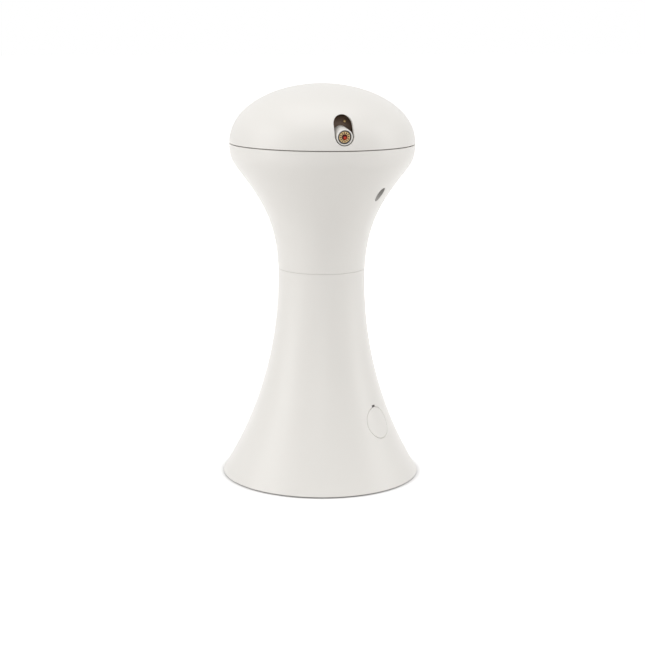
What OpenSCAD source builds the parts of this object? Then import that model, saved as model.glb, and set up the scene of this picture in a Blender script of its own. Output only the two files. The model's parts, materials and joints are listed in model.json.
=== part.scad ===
// Tower-shaped light pointer for pets: a bell foot, a funnel column and a turning cap
// with two tilting light barrels.
// Origin: centre of the foot on the floor. +Z up. The front barrel points along -Y.

/* [Outline] */
// Diameter of the foot's rim
base_d = 96.2; // [94:0.1:104]
// Gap between the floor and the foot's rim
rim_gap = 0.6; // [0.4:0.1:0.9]
// Diameter of the waist at its narrowest
waist_d = 42; // [41:0.1:46]
// Height of the narrowest point of the waist
waist_z = 97.5; // [94:0.5:104]
// Height of the seam between the lower and the upper shell
waist_seam_z = 102; // [98:0.5:108]
// Height at which the funnel is steepest
flare_z = 140.8; // [136:0.2:144]
// Diameter of the funnel at that height
flare_d = 67.4; // [66:0.1:72]
// Diameter of the head
head_d = 89; // [88:0.1:94]
// Height of the upper shell's top rim
rim_z = 162.1; // [160:0.1:166]
// Open seam between the upper shell and the cap
seam_gap = 0.5; // [0.4:0.1:0.8]
// Height of the cap above its own rim
cap_h = 28; // [26:0.5:34]
// Wall thickness of the three shells
wall = 2; // [1.6:0.1:2.4]

/* [Light barrels] */
// Outer diameter of a barrel
barrel_d = 7.5; // [7:0.1:7.8]
// Diameter of the bore in a barrel
barrel_bore_d = 6.4; // [6.2:0.1:6.6]
// Distance from the pivot to the barrel's front face
barrel_front = 19.7; // [18:0.1:21]
// Distance from the pivot to the barrel's back end
barrel_back = 5; // [4.5:0.1:6]
// Distance from the middle of the head to the pivot
pivot_r = 24; // [23:0.1:25]
// Height of the pivot
pivot_z = 170.6; // [170:0.1:172]
// Angle below the horizontal at which a barrel rests
rest_tilt = 6; // [4:0.5:7]
// Angle through which a barrel can be lifted
lift_angle = 16; // [12:0.5:20]
// Diameter of the trunnion pins
trunnion_d = 3; // [2.4:0.1:3.4]
// Width of a slot in the cap
slot_w = 9; // [8.5:0.1:9.4]
// Diameter of the brass light module
module_d = 6; // [5.8:0.1:6.1]
// Length of the brass light module
module_l = 12; // [10:0.5:13]
// Diameter of the module's aperture
aperture_d = 2.7; // [2:0.1:3.2]

/* [Button] */
// Angle of the button round the foot, from the front barrel
button_az = 42; // [38:1:50]
// Height of the middle of the button
button_z = 29.4; // [28:0.2:32]
// Diameter of the button
button_d = 15.4; // [14:0.1:16]
// Distance that the button travels
button_travel = 0.8; // [0.4:0.1:1]
// Width of the status window above the button
window_w = 2.6; // [2:0.1:3.2]

/* [Battery bay] */
// Diameter of a battery cell
cell_d = 10.5; // [10:0.1:10.5]
// Length of a battery cell with its nub
cell_l = 44.5; // [43:0.1:44.5]
// Room for the contact spring behind a cell
spring_room = 5.5; // [4.5:0.1:6.5]
// Thickness of the battery door
door_t = 1.6; // [1.4:0.1:1.8]

/* [Base plate] */
// Height of the base plate's underside
floor_z = 1.2; // [1:0.1:1.4]
// Thickness of the base plate
floor_t = 2; // [1.8:0.1:2.2]
// Diameter of a rubber foot
foot_d = 8; // [7:0.5:8.5]

/* [Screws] */
// Diameter of a screw's shank
screw_d = 2.5; // [2.2:0.1:2.6]
// Diameter of a screw's head
screw_head_d = 4.2; // [4:0.1:4.4]
// Diameter of the screw wells under the head
well_d = 4.6; // [4.6:0.1:5]
// Distance of the screw wells from the middle
well_r = 33; // [32.4:0.1:33.6]

/* [Drive] */
// Height of the deck plate's underside
deck_z = 150; // [149.6:0.1:150.6]
// Thickness of the deck plate
deck_t = 2; // [1.8:0.1:2.2]
// Gear module
gear_m = 0.5; // [0.48:0.01:0.51]
// Teeth of the gear on the spindle
drive_teeth = 60; // [58:1:62]
// Teeth of the large reduction gear
wheel_teeth = 42; // [38:1:44]
// Teeth of both pinions
pinion_teeth = 12; // [12:1:13]
// Distance of the motor's shaft from the middle
motor_r = 13; // [12.6:0.1:13.4]
// Diameter of the motor can
motor_d = 20; // [18:0.1:20.4]
// Width of the motor can across its flats
motor_flat = 15; // [14:0.1:15.4]
// Length of the motor can
motor_l = 20; // [18:0.5:21]
// Diameter of the head's spindle
spindle_d = 4; // [3.6:0.1:4.4]

/* [Hidden] */
$fn = 96;
small_fn = 32;
bell_steps = 22;
neck_steps = 12;
shoulder_steps = 8;
cap_steps = 22;

fit = 0.05;           // radial running clearance
slip = 0.2;           // clearance of pieces that slide past each other
gap = 0.3;            // clearance of fixed pieces
overlap = 0.5;        // depth by which joined shapes share material
cut = 1;              // depth by which a cutter runs past a face

steel = [0.72, 0.73, 0.75];
brass = [0.80, 0.62, 0.32];
copper = [0.72, 0.42, 0.25];
shell_white = [0.91, 0.90, 0.88];
dark_brown = [0.16, 0.12, 0.10];
board_green = [0.10, 0.32, 0.18];
natural = [0.86, 0.84, 0.76];
lens_red = [0.75, 0.1, 0.08];

// ---- outline of the stand and of the cap -------------------------------------------
bell_slope = 0.608;
bell_foot_pull = 27;
bell_waist_pull = 36.8;
neck_pull = 19.6;
flare_slope = 0.687;
flare_pull_down = 12.1;
flare_pull_up = 11.7;
head_pull = 9.3;
cap_power = 2.1;
cap_round = 0.51;

function bezier(p, t) = pow(1 - t, 3) * p[0] + 3 * t * pow(1 - t, 2) * p[1]
    + 3 * t * t * (1 - t) * p[2] + pow(t, 3) * p[3];
function curve(p, steps) = [for (i = [0:steps - 1]) bezier(p, i / steps)];

bell = [[base_d / 2, rim_gap],
        [base_d / 2 - bell_slope * bell_foot_pull, rim_gap + bell_foot_pull],
        [waist_d / 2, waist_z - bell_waist_pull],
        [waist_d / 2, waist_z]];
neck = [[waist_d / 2, waist_z],
        [waist_d / 2, waist_z + neck_pull],
        [flare_d / 2 - flare_slope * flare_pull_down, flare_z - flare_pull_down],
        [flare_d / 2, flare_z]];
shoulder = [[flare_d / 2, flare_z],
            [flare_d / 2 + flare_slope * flare_pull_up, flare_z + flare_pull_up],
            [head_d / 2, rim_z - head_pull],
            [head_d / 2, rim_z]];
stand_outer = concat(curve(bell, bell_steps), curve(neck, neck_steps),
                     curve(shoulder, shoulder_steps), [[head_d / 2, rim_z]]);

cap_z = rim_z + seam_gap;
function cap_point(a) = [head_d / 2 * pow(max(0, 1 - pow(sin(a), cap_power)), cap_round),
                         cap_z + cap_h * sin(a)];
cap_outer = [for (i = [0:cap_steps]) cap_point(90 * i / cap_steps)];

// Points moved inward, square to the outline, by a wall's thickness
function along(p, i) = p[min(i + 1, len(p) - 1)] - p[max(i - 1, 0)];
function inward(p, t) = [for (i = [0:len(p) - 1])
    let (d = along(p, i) / norm(along(p, i))) [max(0, p[i][0] - t * d[1]), p[i][1] + t * d[0]]];
stand_inner = inward(stand_outer, wall);
cap_inner_raw = inward(cap_outer, wall);
cap_inner = concat([for (i = [0:cap_steps - 1]) cap_inner_raw[i]], [[0, cap_z + cap_h - wall]]);

function r_at(p, z) = lookup(z, [for (q = p) [q[1], q[0]]]);
function outer_r(z) = r_at(stand_outer, z);
function inner_r(z) = r_at(stand_inner, z);
function between(p, a, b) = concat([[r_at(p, a), a]],
    [for (q = p) if (q[1] > a + fit && q[1] < b - fit) q], [[r_at(p, b), b]]);
function backward(p) = [for (i = [len(p) - 1:-1:0]) p[i]];

// ---- battery bay and base plate ------------------------------------------------------
floor_top = floor_z + floor_t;
floor_edge_r = inner_r(floor_top) - gap;
cell_rows = [-1, 0, 1];
cell_pitch = cell_d + gap;
cell_z = floor_z + door_t + gap + cell_d / 2;
cell_nub_d = 3.8;
cell_nub_h = 0.8;
cell_play = 0.1;
bay_l = cell_l + spring_room;
bay_cut_r = cell_d / 2 + slip;
bay_wall = 1.2;
bay_w = (len(cell_rows) - 1) * cell_pitch + 2 * bay_cut_r;
bay_top_z = cell_z + bay_cut_r + bay_wall;
contact_t = 0.4;
contact_w = bay_cut_r * sqrt(2) - gap;
spring_wire = 0.7;
spring_wide_r = 3.6;
spring_narrow_r = 2;
spring_turns = 4;
door_lap = 0.8;
door_l = bay_l + 2 * door_lap;
door_w = bay_w + 2 * door_lap;
door_gap = 0.25;
door_pin_d = 1.1;
door_pin_l = 1.5;
door_axis_x = -(door_l - door_t) / 2;
door_axis_z = floor_z + door_t / 2;
tongue_w = 9;
tongue_l = 7;
grip_count = 3;
grip_w = 12;
grip_t = 1;
grip_pitch = 2.4;
grip_depth = 0.4;
grip_inset = 6;
door_screw_x = door_l / 2 + 3.4;
door_boss_r = 3.2;
door_boss_h = 6.4;
door_boss_roof = 1;
door_screw_l = 5;
foot_sink = 0.6;
foot_inset = 0.5;
foot_to_door = 2;
foot_r = floor_edge_r - foot_d / 2 - foot_inset;
foot_turn = asin((door_l / 2 + foot_to_door + foot_d / 2) / foot_r);
foot_az = [foot_turn, 180 - foot_turn, 180 + foot_turn, -foot_turn];
base_screw_inset = 6.1;
base_screw_r = floor_edge_r - base_screw_inset;
base_screw_az = [30, 150, 210, 330];
pad_t = 1.4;
pad_r = 4.2;
boss_r = 3;
boss_h = 9.4;
head_h = 1.6;
base_screw_z = floor_z + head_h + gap;
base_screw_l = 7.8;

// ---- waist ---------------------------------------------------------------------------
web_z = 89;
web_t = 2.4;
web_bore_r = 12.5;
spigot_t = 1.6;
spigot_r = min([for (z = [web_z + web_t:1:waist_seam_z]) inner_r(z)]) - slip;
collar_t = 2;
neck_boss_r = 2.7;
neck_boss_sink = 1;
neck_screw_r = spigot_r - spigot_t - neck_boss_r + neck_boss_sink;
neck_screw_az = [90, 270];
neck_screw_l = 9;

// ---- button and main board -------------------------------------------------------------
slope_step = 1;
button_r = outer_r(button_z);
button_tilt = atan2(outer_r(button_z - slope_step) - outer_r(button_z + slope_step), 2 * slope_step);
button_gap = 0.2;
button_t = 1.8;
skirt_top = 1.1;
flange_w = 1.3;
flange_t = 1;
flange_room = 1;
flange_depth = wall + flange_room + button_travel;
stem_d = 4;
board_w = 26;
board_low = 5.5;
board_high = 11;
board_t = 1.6;
switch_w = 6;
switch_h = 3.5;
plunger_d = 3;
plunger_h = 1.2;
switch_room = 1.2;
board_depth = flange_depth + flange_t + button_travel + switch_room + switch_h + plunger_h;
stem_end = board_depth - switch_h - plunger_h;
post_r = 2.3;
post_x = 10;
post_y = 6;
board_screw_l = 4.5;
button_spring_r = 5;
button_spring_wire = 0.6;
button_spring_turns = 5;
chip = [8, 4, 1.4];
chip_at = [-5, 5];
plug = [4, 6, 2.4];
plug_at = [6, -5];
window_h = 0.8;
window_rise = button_d / 2 + button_gap + window_h / 2;

// ---- head, deck and drive --------------------------------------------------------------
deck_top = deck_z + deck_t;
deck_r = inner_r(deck_z) - gap;
well_az = [button_az, button_az + 180];
well_boss_wall = 1.4;
well_boss_r = well_d / 2 + well_boss_wall;
well_seat_t = 3;
well_seat_z = deck_z - well_seat_t;
deck_screw_l = 8;
deck_boss_r = 2.8;
deck_boss_h = 6.4;
plate_z = cap_z + slip;
plate_t = 1.6;
plate_top = plate_z + plate_t;
plate_r = r_at(cap_inner, plate_top) - slip;
lip_h = 1.5;
lip_t = 1;
lip_r = inner_r(rim_z) - gap;
cap_post_r = 34;
cap_post_az = [60, 120, 240, 300];
cap_boss_r = 3;
cap_screw_l = 8;
cap_head_h = 1.2;
bush_r = 4;
bush_low = 1;
bush_flange_r = 5.2;
bush_flange_t = 1.2;
gear_level = 5;
drive_t = 3;
wheel_t = 1.8;
drive_z = deck_top + gear_level;
wheel_lift = 1;
wheel_z = deck_top + wheel_lift;
hub_r = 5;
spindle_tail = 2.2;
spindle_head = 3;
spindle_low = deck_z - bush_low - spindle_tail;
spindle_top = plate_top + spindle_head;
clip_t = 0.6;
clip_r = 3.6;
clip_groove = 0.4;
clip_z = deck_z - bush_low - gap - clip_t;

backlash = 0.12;
pressure = 25;
tooth_top = 0.9;
tooth_root = 1.2;
flank_steps = 3;
axle_to_spindle = gear_m * (drive_teeth + pinion_teeth) / 2;
motor_to_axle = gear_m * (wheel_teeth + pinion_teeth) / 2;
motor_az = 132;
axle_turn = acos((pow(motor_r, 2) + pow(axle_to_spindle, 2) - pow(motor_to_axle, 2))
    / (2 * motor_r * axle_to_spindle));
axle_az = motor_az + axle_turn;
function spot(az, r) = [r * sin(az), -r * cos(az)];
axle_xy = spot(axle_az, axle_to_spindle);
motor_xy = spot(motor_az, motor_r);
function aim(a, b) = atan2(b[1] - a[1], b[0] - a[0]);
axle_d = 2;
axle_boss_r = 3;
axle_boss_h = 3;
deck_rim_h = 3;
motor_shaft_d = 2;
can_wall = 0.8;
can_nose_d = 6;
can_nose_h = 1.4;
endcap_t = 1.5;
endcap_plug = 2;
commutator_d = 5;
commutator_l = 3;
magnet_t = 2;
magnet_room = 2;
rotor_gap = 0.5;
rotor_room = 2.5;
motor_screw_r = 8;
motor_screw_d = 2;
motor_screw_l = 2.4;
motor_head_d = 3.6;
motor_head_h = 0.9;
pinion_top = deck_t + 3.4;
pinion_h = 2.5;

ring_in = 19.5;
ring_out = 28.5;
ring_t = 1.2;
ring_z = plate_z - ring_t;
track_r = [22, 26];
track_w = 1.8;
track_t = 0.2;
brush_az = 318;
brush_w = 7;
brush_h = 5.5;
brush_depth = 11;
brush_t = 0.4;
brush_strip_w = 1.4;
brush_tip = 1;
brush_hook = 0.4;
brush_bow = 0.2;
brush_r = (track_r[0] + track_r[1]) / 2;
plug_d = 5;
plug_reach = 2;

// ---- light barrels -----------------------------------------------------------------------
barrel_az = [0, 180];
slot_reach = r_at(cap_outer, pivot_z) - pivot_r;
slot_low_z = pivot_z - slot_reach * tan(rest_tilt);
slot_high_z = pivot_z + slot_reach * tan(lift_angle - rest_tilt);
ear_gap = 0.4;
ear_t = 2;
ear_r = 3.4;
trunnion_reach = ear_gap + ear_t;
shield_r = 11;
shield_t = 1;
shield_w = 14;
shield_low = -22;     // from the barrel's axis down to the shield's lower edge
shield_high = 51;
shield_collar_t = 1;
shield_collar_l = 2.5;
pip_turn = 30;
pip_r = 0.6;
mouth_depth = 0.5;
soft_edge = 0.3;
module_face = 1;
module_wall = 0.6;
lens_t = 0.8;
lens_dome = 0.3;
lens_d = module_d - 2 * module_wall;
light_board_l = 6;
light_board_w = 5;
light_board_t = 0.8;

// ---- wires -------------------------------------------------------------------------------
wire_d = 1.2;
wire_sides = 6;
wire_steps = 4;
wire_gap = 0.3;
wire_stub = 4;        // straight stretch of a wire before its end
wire_pull = 0.6;      // slack that a barrel's wire hangs through
barrel_loop = [3, 5.4, 5.8];
trunk_z = [for (t = [0.332, 0.743, 1.095]) button_z + (waist_z - button_z) * t];
trunk_top_z = waist_z + (deck_z - waist_z) * 0.58;
battery_plug_x = bay_l * 0.24;
battery_pads = [-3, -3];
motor_pads = [-8, 1];
brush_pads = [3, 1];
motor_trunk = [[3, -3], [3, 0], [3, 1]];
brush_trunk = [[-4, -4], [-5, -2], [-5, -3], [-10, -10]];
motor_tab_pitch = 4;
motor_tab_y = -2;
function turned(p, a) = [p[0] * cos(a) - p[1] * sin(a), p[0] * sin(a) + p[1] * cos(a), p[2]];
function tipped(p, a) = [p[0], p[1] * cos(a) - p[2] * sin(a), p[1] * sin(a) + p[2] * cos(a)];
// Place of a point of the button's frame in the whole object
function from_button(p) = turned(tipped(p, 90 - button_tilt) + [0, -button_r, button_z], button_az);
function board_back(x, y, d) = from_button([x, y, -board_depth - board_t - d]);

// ---- shared shapes -----------------------------------------------------------------------
module at(az, r, z = 0) {
    rotate([0, 0, az]) translate([0, -r, z]) children();
}

module spin(points) {
    rotate_extrude() polygon(points);
}

// A filled body of the stand's outline between two heights
module stand_core(points, low, high) {
    spin(concat([[0, low]], between(points, low, high), [[0, high]]));
}

// The same, ending half way through the shells' wall
module wall_core(low, high) {
    stand_core(inward(stand_outer, wall / 2), low, high);
}

module stand_wall(low, high) {
    spin(concat(between(stand_outer, low, high), backward(between(stand_inner, low, high))));
}

module ring(r_out, r_in, h) {
    difference() {
        cylinder(r = r_out, h = h);
        translate([0, 0, -cut]) cylinder(r = r_in, h = h + 2 * cut);
    }
}

// Pan-head screw with its head's underside at z = 0 and its shank pointing up
module screw(l, head_d = screw_head_d, head = head_h, d = screw_d) {
    driver_w = 0.7;
    driver_depth = 0.6;
    difference() {
        translate([0, 0, -head]) cylinder(d = head_d, h = head, $fn = small_fn);
        for (a = [0, 90])
            rotate([0, 0, a])
                translate([-head_d / 3, -driver_w / 2, -head - cut])
                    cube([head_d * 2 / 3, driver_w, cut + driver_depth]);
    }
    cylinder(d = d, h = l - d / 2, $fn = small_fn);
    translate([0, 0, l - d / 2]) cylinder(d1 = d, d2 = d / 2, h = d / 2, $fn = small_fn);
}

function arc_angle(r, r_base) = acos(min(1, r_base / r));
function involute(a) = tan(a) * 180 / PI - a;
function half_tooth(r, teeth) = let (pitch = gear_m * teeth / 2, base = pitch * cos(pressure))
    90 / teeth - backlash / 4 / pitch * 180 / PI + involute(pressure)
    - involute(arc_angle(r, base));
function tooth(teeth, turn) = let (
    pitch = gear_m * teeth / 2,
    root = pitch - tooth_root * gear_m,
    tip = pitch + tooth_top * gear_m,
    start = max(root, pitch * cos(pressure)),
    radii = [for (i = [0:flank_steps]) start + (tip - start) * i / flank_steps],
    low = half_tooth(start, teeth))
    concat([[root, turn - low]], [for (r = radii) [r, turn - half_tooth(r, teeth)]],
           [for (i = [flank_steps:-1:0]) [radii[i], turn + half_tooth(radii[i], teeth)]],
           [[root, turn + low]]);
function gear_points(teeth) = [for (i = [0:teeth - 1]) for (q = tooth(teeth, 360 * i / teeth))
    [q[0] * cos(q[1]), q[0] * sin(q[1])]];

// Spur gear with a tooth on the local +X axis
module gear(teeth, h) {
    linear_extrude(h) polygon(gear_points(teeth));
}

// Frame of the button: z = 0 on the shell's surface, +Z straight out of it
module button_frame() {
    at(button_az, button_r, button_z) rotate([90 - button_tilt, 0, 0]) children();
}

// Frame of a barrel at rest: origin at the pivot, +Z along the light's way out
module barrel_frame(az) {
    at(az, pivot_r, pivot_z) rotate([90 + rest_tilt, 0, 0]) children();
}

// Round tube along a list of points; "up" is a direction that no stretch runs along
function cross_unit(a, b) = cross(a, b) / norm(cross(a, b));
function tube_ring(p, i, r, sides, up) = let (
    d = p[min(i + 1, len(p) - 1)] - p[max(i - 1, 0)],
    u = cross_unit(d, up),
    v = cross_unit(u, d))
    [for (k = [0:sides - 1]) p[i] + r * cos(360 * k / sides) * u + r * sin(360 * k / sides) * v];
module tube(p, r, sides = wire_sides, up = [1, 0, 0]) {
    n = len(p);
    points = [for (i = [0:n - 1]) for (q = tube_ring(p, i, r, sides, up)) q];
    skin = [for (i = [0:n - 2]) for (k = [0:sides - 1])
        let (a = i * sides + k, b = i * sides + (k + 1) % sides)
        for (f = [[a, b, b + sides], [a, b + sides, a + sides]]) f];
    first = [for (k = [1:sides - 2]) [0, k + 1, k]];
    last = [for (k = [1:sides - 2]) let (e = (n - 1) * sides) [e, e + k, e + k + 1]];
    polyhedron(points = points, faces = [for (f = concat(skin, first, last)) [f[0], f[2], f[1]]]);
}

function spline_point(a, b, c, d, t) = (2 * b + (c - a) * t + (2 * a - 5 * b + 4 * c - d) * t * t
    + (3 * b - a - 3 * c + d) * t * t * t) / 2;
function smooth(p, steps) = let (n = len(p)) concat([for (i = [0:n - 2]) for (k = [0:steps - 1])
    spline_point(p[max(i - 1, 0)], p[i], p[i + 1], p[min(i + 2, n - 1)], k / steps)], [p[n - 1]]);

// Coil spring from z = 0 to z = h
module coil(r_low, r_high, wire, h, turns) {
    per_turn = 8;
    n = turns * per_turn;
    tube([for (i = [0:n]) let (t = i / n, r = r_low + (r_high - r_low) * t)
        [r * cos(360 * turns * t), r * sin(360 * turns * t), wire / 2 + (h - wire) * t]],
        wire / 2, up = [0, 0, 1]);
}

// ---- stand -------------------------------------------------------------------------------
module lower_shell() {
    color(shell_white) difference() {
        union() {
            stand_wall(rim_gap, waist_seam_z);
            for (az = base_screw_az)
                intersection() {
                    at(az, base_screw_r, floor_top + pad_t) cylinder(r = boss_r, h = boss_h);
                    wall_core(rim_gap, waist_seam_z);
                }
            translate([0, 0, web_z]) ring(inner_r(web_z) + overlap, web_bore_r, web_t);
            intersection() {
                button_frame()
                    for (x = [-post_x, post_x])
                        translate([x, post_y, -board_depth])
                            cylinder(r = post_r, h = board_depth, $fn = small_fn);
                wall_core(rim_gap, waist_seam_z);
            }
        }
        for (az = base_screw_az)
            at(az, base_screw_r, floor_top)
                cylinder(d = screw_d + 2 * fit, h = base_screw_z + base_screw_l + gap - floor_top,
                         $fn = small_fn);
        for (az = neck_screw_az)
            at(az, neck_screw_r, web_z - cut)
                cylinder(d = screw_d + 2 * gap, h = web_t + 2 * cut, $fn = small_fn);
        button_frame() {
            translate([0, 0, -flange_depth])
                cylinder(d = button_d + 2 * button_gap, h = flange_depth + cut * 4);
            translate([-window_w / 2, window_rise - window_h / 2 - button_gap, -wall * 2])
                cube([window_w, window_h + button_gap, wall * 4]);
            for (x = [-post_x, post_x])
                translate([x, post_y, -board_depth - cut])
                    cylinder(d = screw_d + 2 * fit, h = board_screw_l - board_t + cut + gap,
                             $fn = small_fn);
        }
    }
}

module upper_shell() {
    spigot_low = web_z + web_t;
    color(shell_white) difference() {
        union() {
            stand_wall(waist_seam_z, rim_z);
            translate([0, 0, spigot_low])
                ring(spigot_r, spigot_r - spigot_t, waist_seam_z + collar_t - spigot_low);
            translate([0, 0, waist_seam_z])
                ring(inner_r(waist_seam_z) + overlap, spigot_r - spigot_t, collar_t);
            for (az = neck_screw_az)
                at(az, neck_screw_r, spigot_low)
                    cylinder(r = neck_boss_r, h = neck_screw_l, $fn = small_fn);
            intersection() {
                for (az = well_az)
                    at(az, well_r, waist_seam_z)
                        cylinder(r = well_boss_r, h = deck_z - waist_seam_z, $fn = small_fn);
                wall_core(waist_seam_z, rim_z);
            }
        }
        for (az = neck_screw_az)
            at(az, neck_screw_r, spigot_low - cut)
                cylinder(d = screw_d + 2 * fit, h = neck_screw_l - web_t + cut + gap,
                         $fn = small_fn);
        for (az = well_az) {
            at(az, well_r, waist_seam_z)
                cylinder(d = well_d, h = well_seat_z - waist_seam_z);
            at(az, well_r, well_seat_z - cut)
                cylinder(d = screw_d + 2 * gap, h = deck_z - well_seat_z + 2 * cut);
        }
    }
}

module bay_outer() {
    half = bay_l / 2 + bay_wall;
    translate([-half, -bay_w / 2 - bay_wall, floor_z + door_t])
        cube([2 * half, bay_w + 2 * bay_wall, cell_z - floor_z - door_t]);
    for (i = cell_rows)
        translate([-half, i * cell_pitch, cell_z])
            rotate([0, 90, 0]) cylinder(r = bay_cut_r + bay_wall, h = 2 * half);
}

module bay_inner() {
    translate([-bay_l / 2, -bay_w / 2, floor_z]) cube([bay_l, bay_w, cell_z - floor_z]);
    for (i = cell_rows)
        translate([-bay_l / 2, i * cell_pitch, cell_z])
            rotate([0, 90, 0]) cylinder(r = bay_cut_r, h = bay_l);
}

module door_outline(grow) {
    translate([-door_l / 2 - grow, -door_w / 2 - grow]) square([door_l + 2 * grow, door_w + 2 * grow]);
    translate([0, -tongue_w / 2 - grow])
        square([door_l / 2 + tongue_l + grow, tongue_w + 2 * grow]);
}

module base_plate() {
    color(shell_white) difference() {
        union() {
            translate([0, 0, floor_z]) cylinder(r = floor_edge_r, h = floor_t);
            bay_outer();
            for (az = base_screw_az)
                at(az, base_screw_r, floor_top - overlap)
                    cylinder(r = pad_r, h = pad_t + overlap, $fn = small_fn);
            translate([door_screw_x, 0, floor_z + door_t])
                cylinder(r = door_boss_r, h = door_boss_h, $fn = small_fn);
        }
        bay_inner();
        translate([0, 0, floor_z - cut]) linear_extrude(door_t + cut) door_outline(door_gap);
        translate([door_axis_x, 0, door_axis_z])
            rotate([90, 0, 0])
                cylinder(d = door_pin_d + 2 * fit, h = door_w + 2 * door_pin_l + 2 * gap,
                         center = true, $fn = small_fn);
        translate([door_screw_x, 0, floor_z])
            cylinder(d = screw_d + 2 * gap, h = door_t + door_boss_h - door_boss_roof, $fn = small_fn);
        for (az = foot_az)
            at(az, foot_r, floor_z - cut) cylinder(d = foot_d + 2 * fit, h = foot_sink + cut);
        for (az = base_screw_az) {
            at(az, base_screw_r, floor_z - cut)
                cylinder(d = screw_head_d + 2 * gap, h = head_h + gap + cut, $fn = small_fn);
            at(az, base_screw_r, floor_z)
                cylinder(d = screw_d + gap, h = floor_t + pad_t + cut, $fn = small_fn);
        }
    }
}

module rubber_feet() {
    color(dark_brown) for (az = foot_az)
        at(az, foot_r, 0) cylinder(d = foot_d, h = floor_z + foot_sink, $fn = small_fn);
}

module base_screws() {
    color(steel) for (az = base_screw_az)
        at(az, base_screw_r, base_screw_z) screw(base_screw_l);
}

module battery_door() {
    color(shell_white) difference() {
        union() {
            translate([door_axis_x, -door_w / 2, floor_z])
                cube([door_l / 2 - door_axis_x, door_w, door_t]);
            translate([0, -tongue_w / 2, floor_z])
                cube([door_l / 2 + tongue_l, tongue_w, door_t]);
            translate([door_axis_x, 0, door_axis_z]) rotate([90, 0, 0]) {
                cylinder(d = door_t, h = door_w, center = true);
                cylinder(d = door_pin_d, h = door_w + 2 * door_pin_l, center = true, $fn = small_fn);
            }
        }
        translate([door_screw_x, 0, floor_z - cut])
            cylinder(d = screw_head_d + gap, h = door_t / 2 + cut, $fn = small_fn);
        translate([door_screw_x, 0, floor_z])
            cylinder(d = screw_d + 2 * fit, h = door_t + cut, $fn = small_fn);
        for (i = [0:grip_count - 1])
            translate([door_l / 2 - grip_inset - grip_pitch * i, -grip_w / 2, floor_z - cut])
                cube([grip_t, grip_w, cut + grip_depth]);
    }
}

module door_screw() {
    color(steel) translate([door_screw_x, 0, floor_z + door_t / 2])
        screw(door_screw_l, head = door_t / 2 - 2 * fit);
}

function cell_way(i) = i == 0 ? -1 : 1;

module battery_cells() {
    nub_end = bay_l / 2 - contact_t - cell_play;
    for (i = cell_rows)
        translate([0, i * cell_pitch, cell_z])
            rotate([0, 90 * cell_way(i), 0])
                translate([0, 0, nub_end - cell_l]) {
                    color(dark_brown) cylinder(d = cell_d, h = cell_l - cell_nub_h);
                    color(steel) cylinder(d = cell_nub_d, h = cell_l, $fn = small_fn);
                }
}

module battery_springs() {
    spring_h = bay_l - 2 * contact_t - cell_play - 2 * fit - cell_l;
    color(steel) for (i = cell_rows)
        translate([0, i * cell_pitch, cell_z])
            rotate([0, 90 * cell_way(i), 0])
                translate([0, 0, contact_t + fit - bay_l / 2])
                    coil(spring_wide_r, spring_narrow_r, spring_wire, spring_h, spring_turns);
}

module battery_contacts() {
    color(steel) for (i = cell_rows)
        translate([0, i * cell_pitch, cell_z])
            rotate([0, 90, 0])
                for (z = [-bay_l / 2, bay_l / 2 - contact_t])
                    translate([-contact_w / 2, -contact_w / 2, z])
                        cube([contact_w, contact_w, contact_t]);
}

module power_button() {
    color(shell_white) {
        intersection() {
            button_frame()
                translate([0, 0, -button_t * 4])
                    cylinder(d = button_d, h = button_t * 8);
            difference() {
                stand_core(stand_outer, rim_gap, waist_z);
                stand_core(inward(stand_outer, button_t), rim_gap + button_t, waist_z);
            }
        }
        button_frame() {
            translate([0, 0, -flange_depth - flange_t]) {
                ring(button_d / 2 + flange_w, button_d / 2 - button_t, flange_t);
                ring(button_d / 2 - fit, button_d / 2 - button_t, flange_depth + flange_t - skirt_top);
            }
            translate([0, 0, -stem_end])
                cylinder(d = stem_d, h = stem_end - skirt_top, $fn = small_fn);
        }
    }
}

module switch_plunger() {
    color(dark_brown) button_frame()
        translate([0, 0, -stem_end - plunger_h - button_travel])
            cylinder(d = plunger_d, h = plunger_h + button_travel, $fn = small_fn);
}

module button_spring() {
    spring_h = board_depth - flange_depth - flange_t + wall;
    color(steel) button_frame()
        translate([0, 0, -board_depth])
            coil(button_spring_r, button_spring_r, button_spring_wire, spring_h, button_spring_turns);
}

module tact_switch() {
    color(dark_brown) button_frame()
        translate([0, 0, -board_depth]) difference() {
            translate([-switch_w / 2, -switch_w / 2, 0]) cube([switch_w, switch_w, switch_h]);
            translate([0, 0, switch_h - 2 * button_travel - gap])
                cylinder(d = plunger_d + 2 * fit, h = 2 * button_travel + gap + cut, $fn = small_fn);
        }
}

module main_board() {
    color(board_green) button_frame()
        translate([0, 0, -board_depth - board_t]) difference() {
            union() {
                translate([-board_w / 2, -board_low, 0]) cube([board_w, board_low + board_high, board_t]);
                for (block = [[chip_at, chip], [plug_at, plug]])
                    translate([block[0][0], block[0][1], -block[1][2]])
                        cube([block[1][0], block[1][1], block[1][2] + overlap]);
            }
            for (x = [-post_x, post_x])
                translate([x, post_y, -cut])
                    cylinder(d = screw_d + gap, h = board_t + 2 * cut, $fn = small_fn);
        }
}

module board_screws() {
    color(steel) button_frame()
        for (x = [-post_x, post_x])
            translate([x, post_y, -board_depth - board_t]) screw(board_screw_l);
}

module status_window() {
    color(dark_brown) intersection() {
        button_frame()
            translate([-window_w / 2 + fit, window_rise - window_h / 2 + fit, -wall])
                cube([window_w - 2 * fit, window_h - 2 * fit, 2 * wall]);
        stand_core(inward(stand_outer, wall / 4), rim_gap + wall, waist_z);
    }
}

module neck_screws() {
    color(steel) for (az = neck_screw_az) at(az, neck_screw_r, web_z) screw(neck_screw_l);
}

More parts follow.
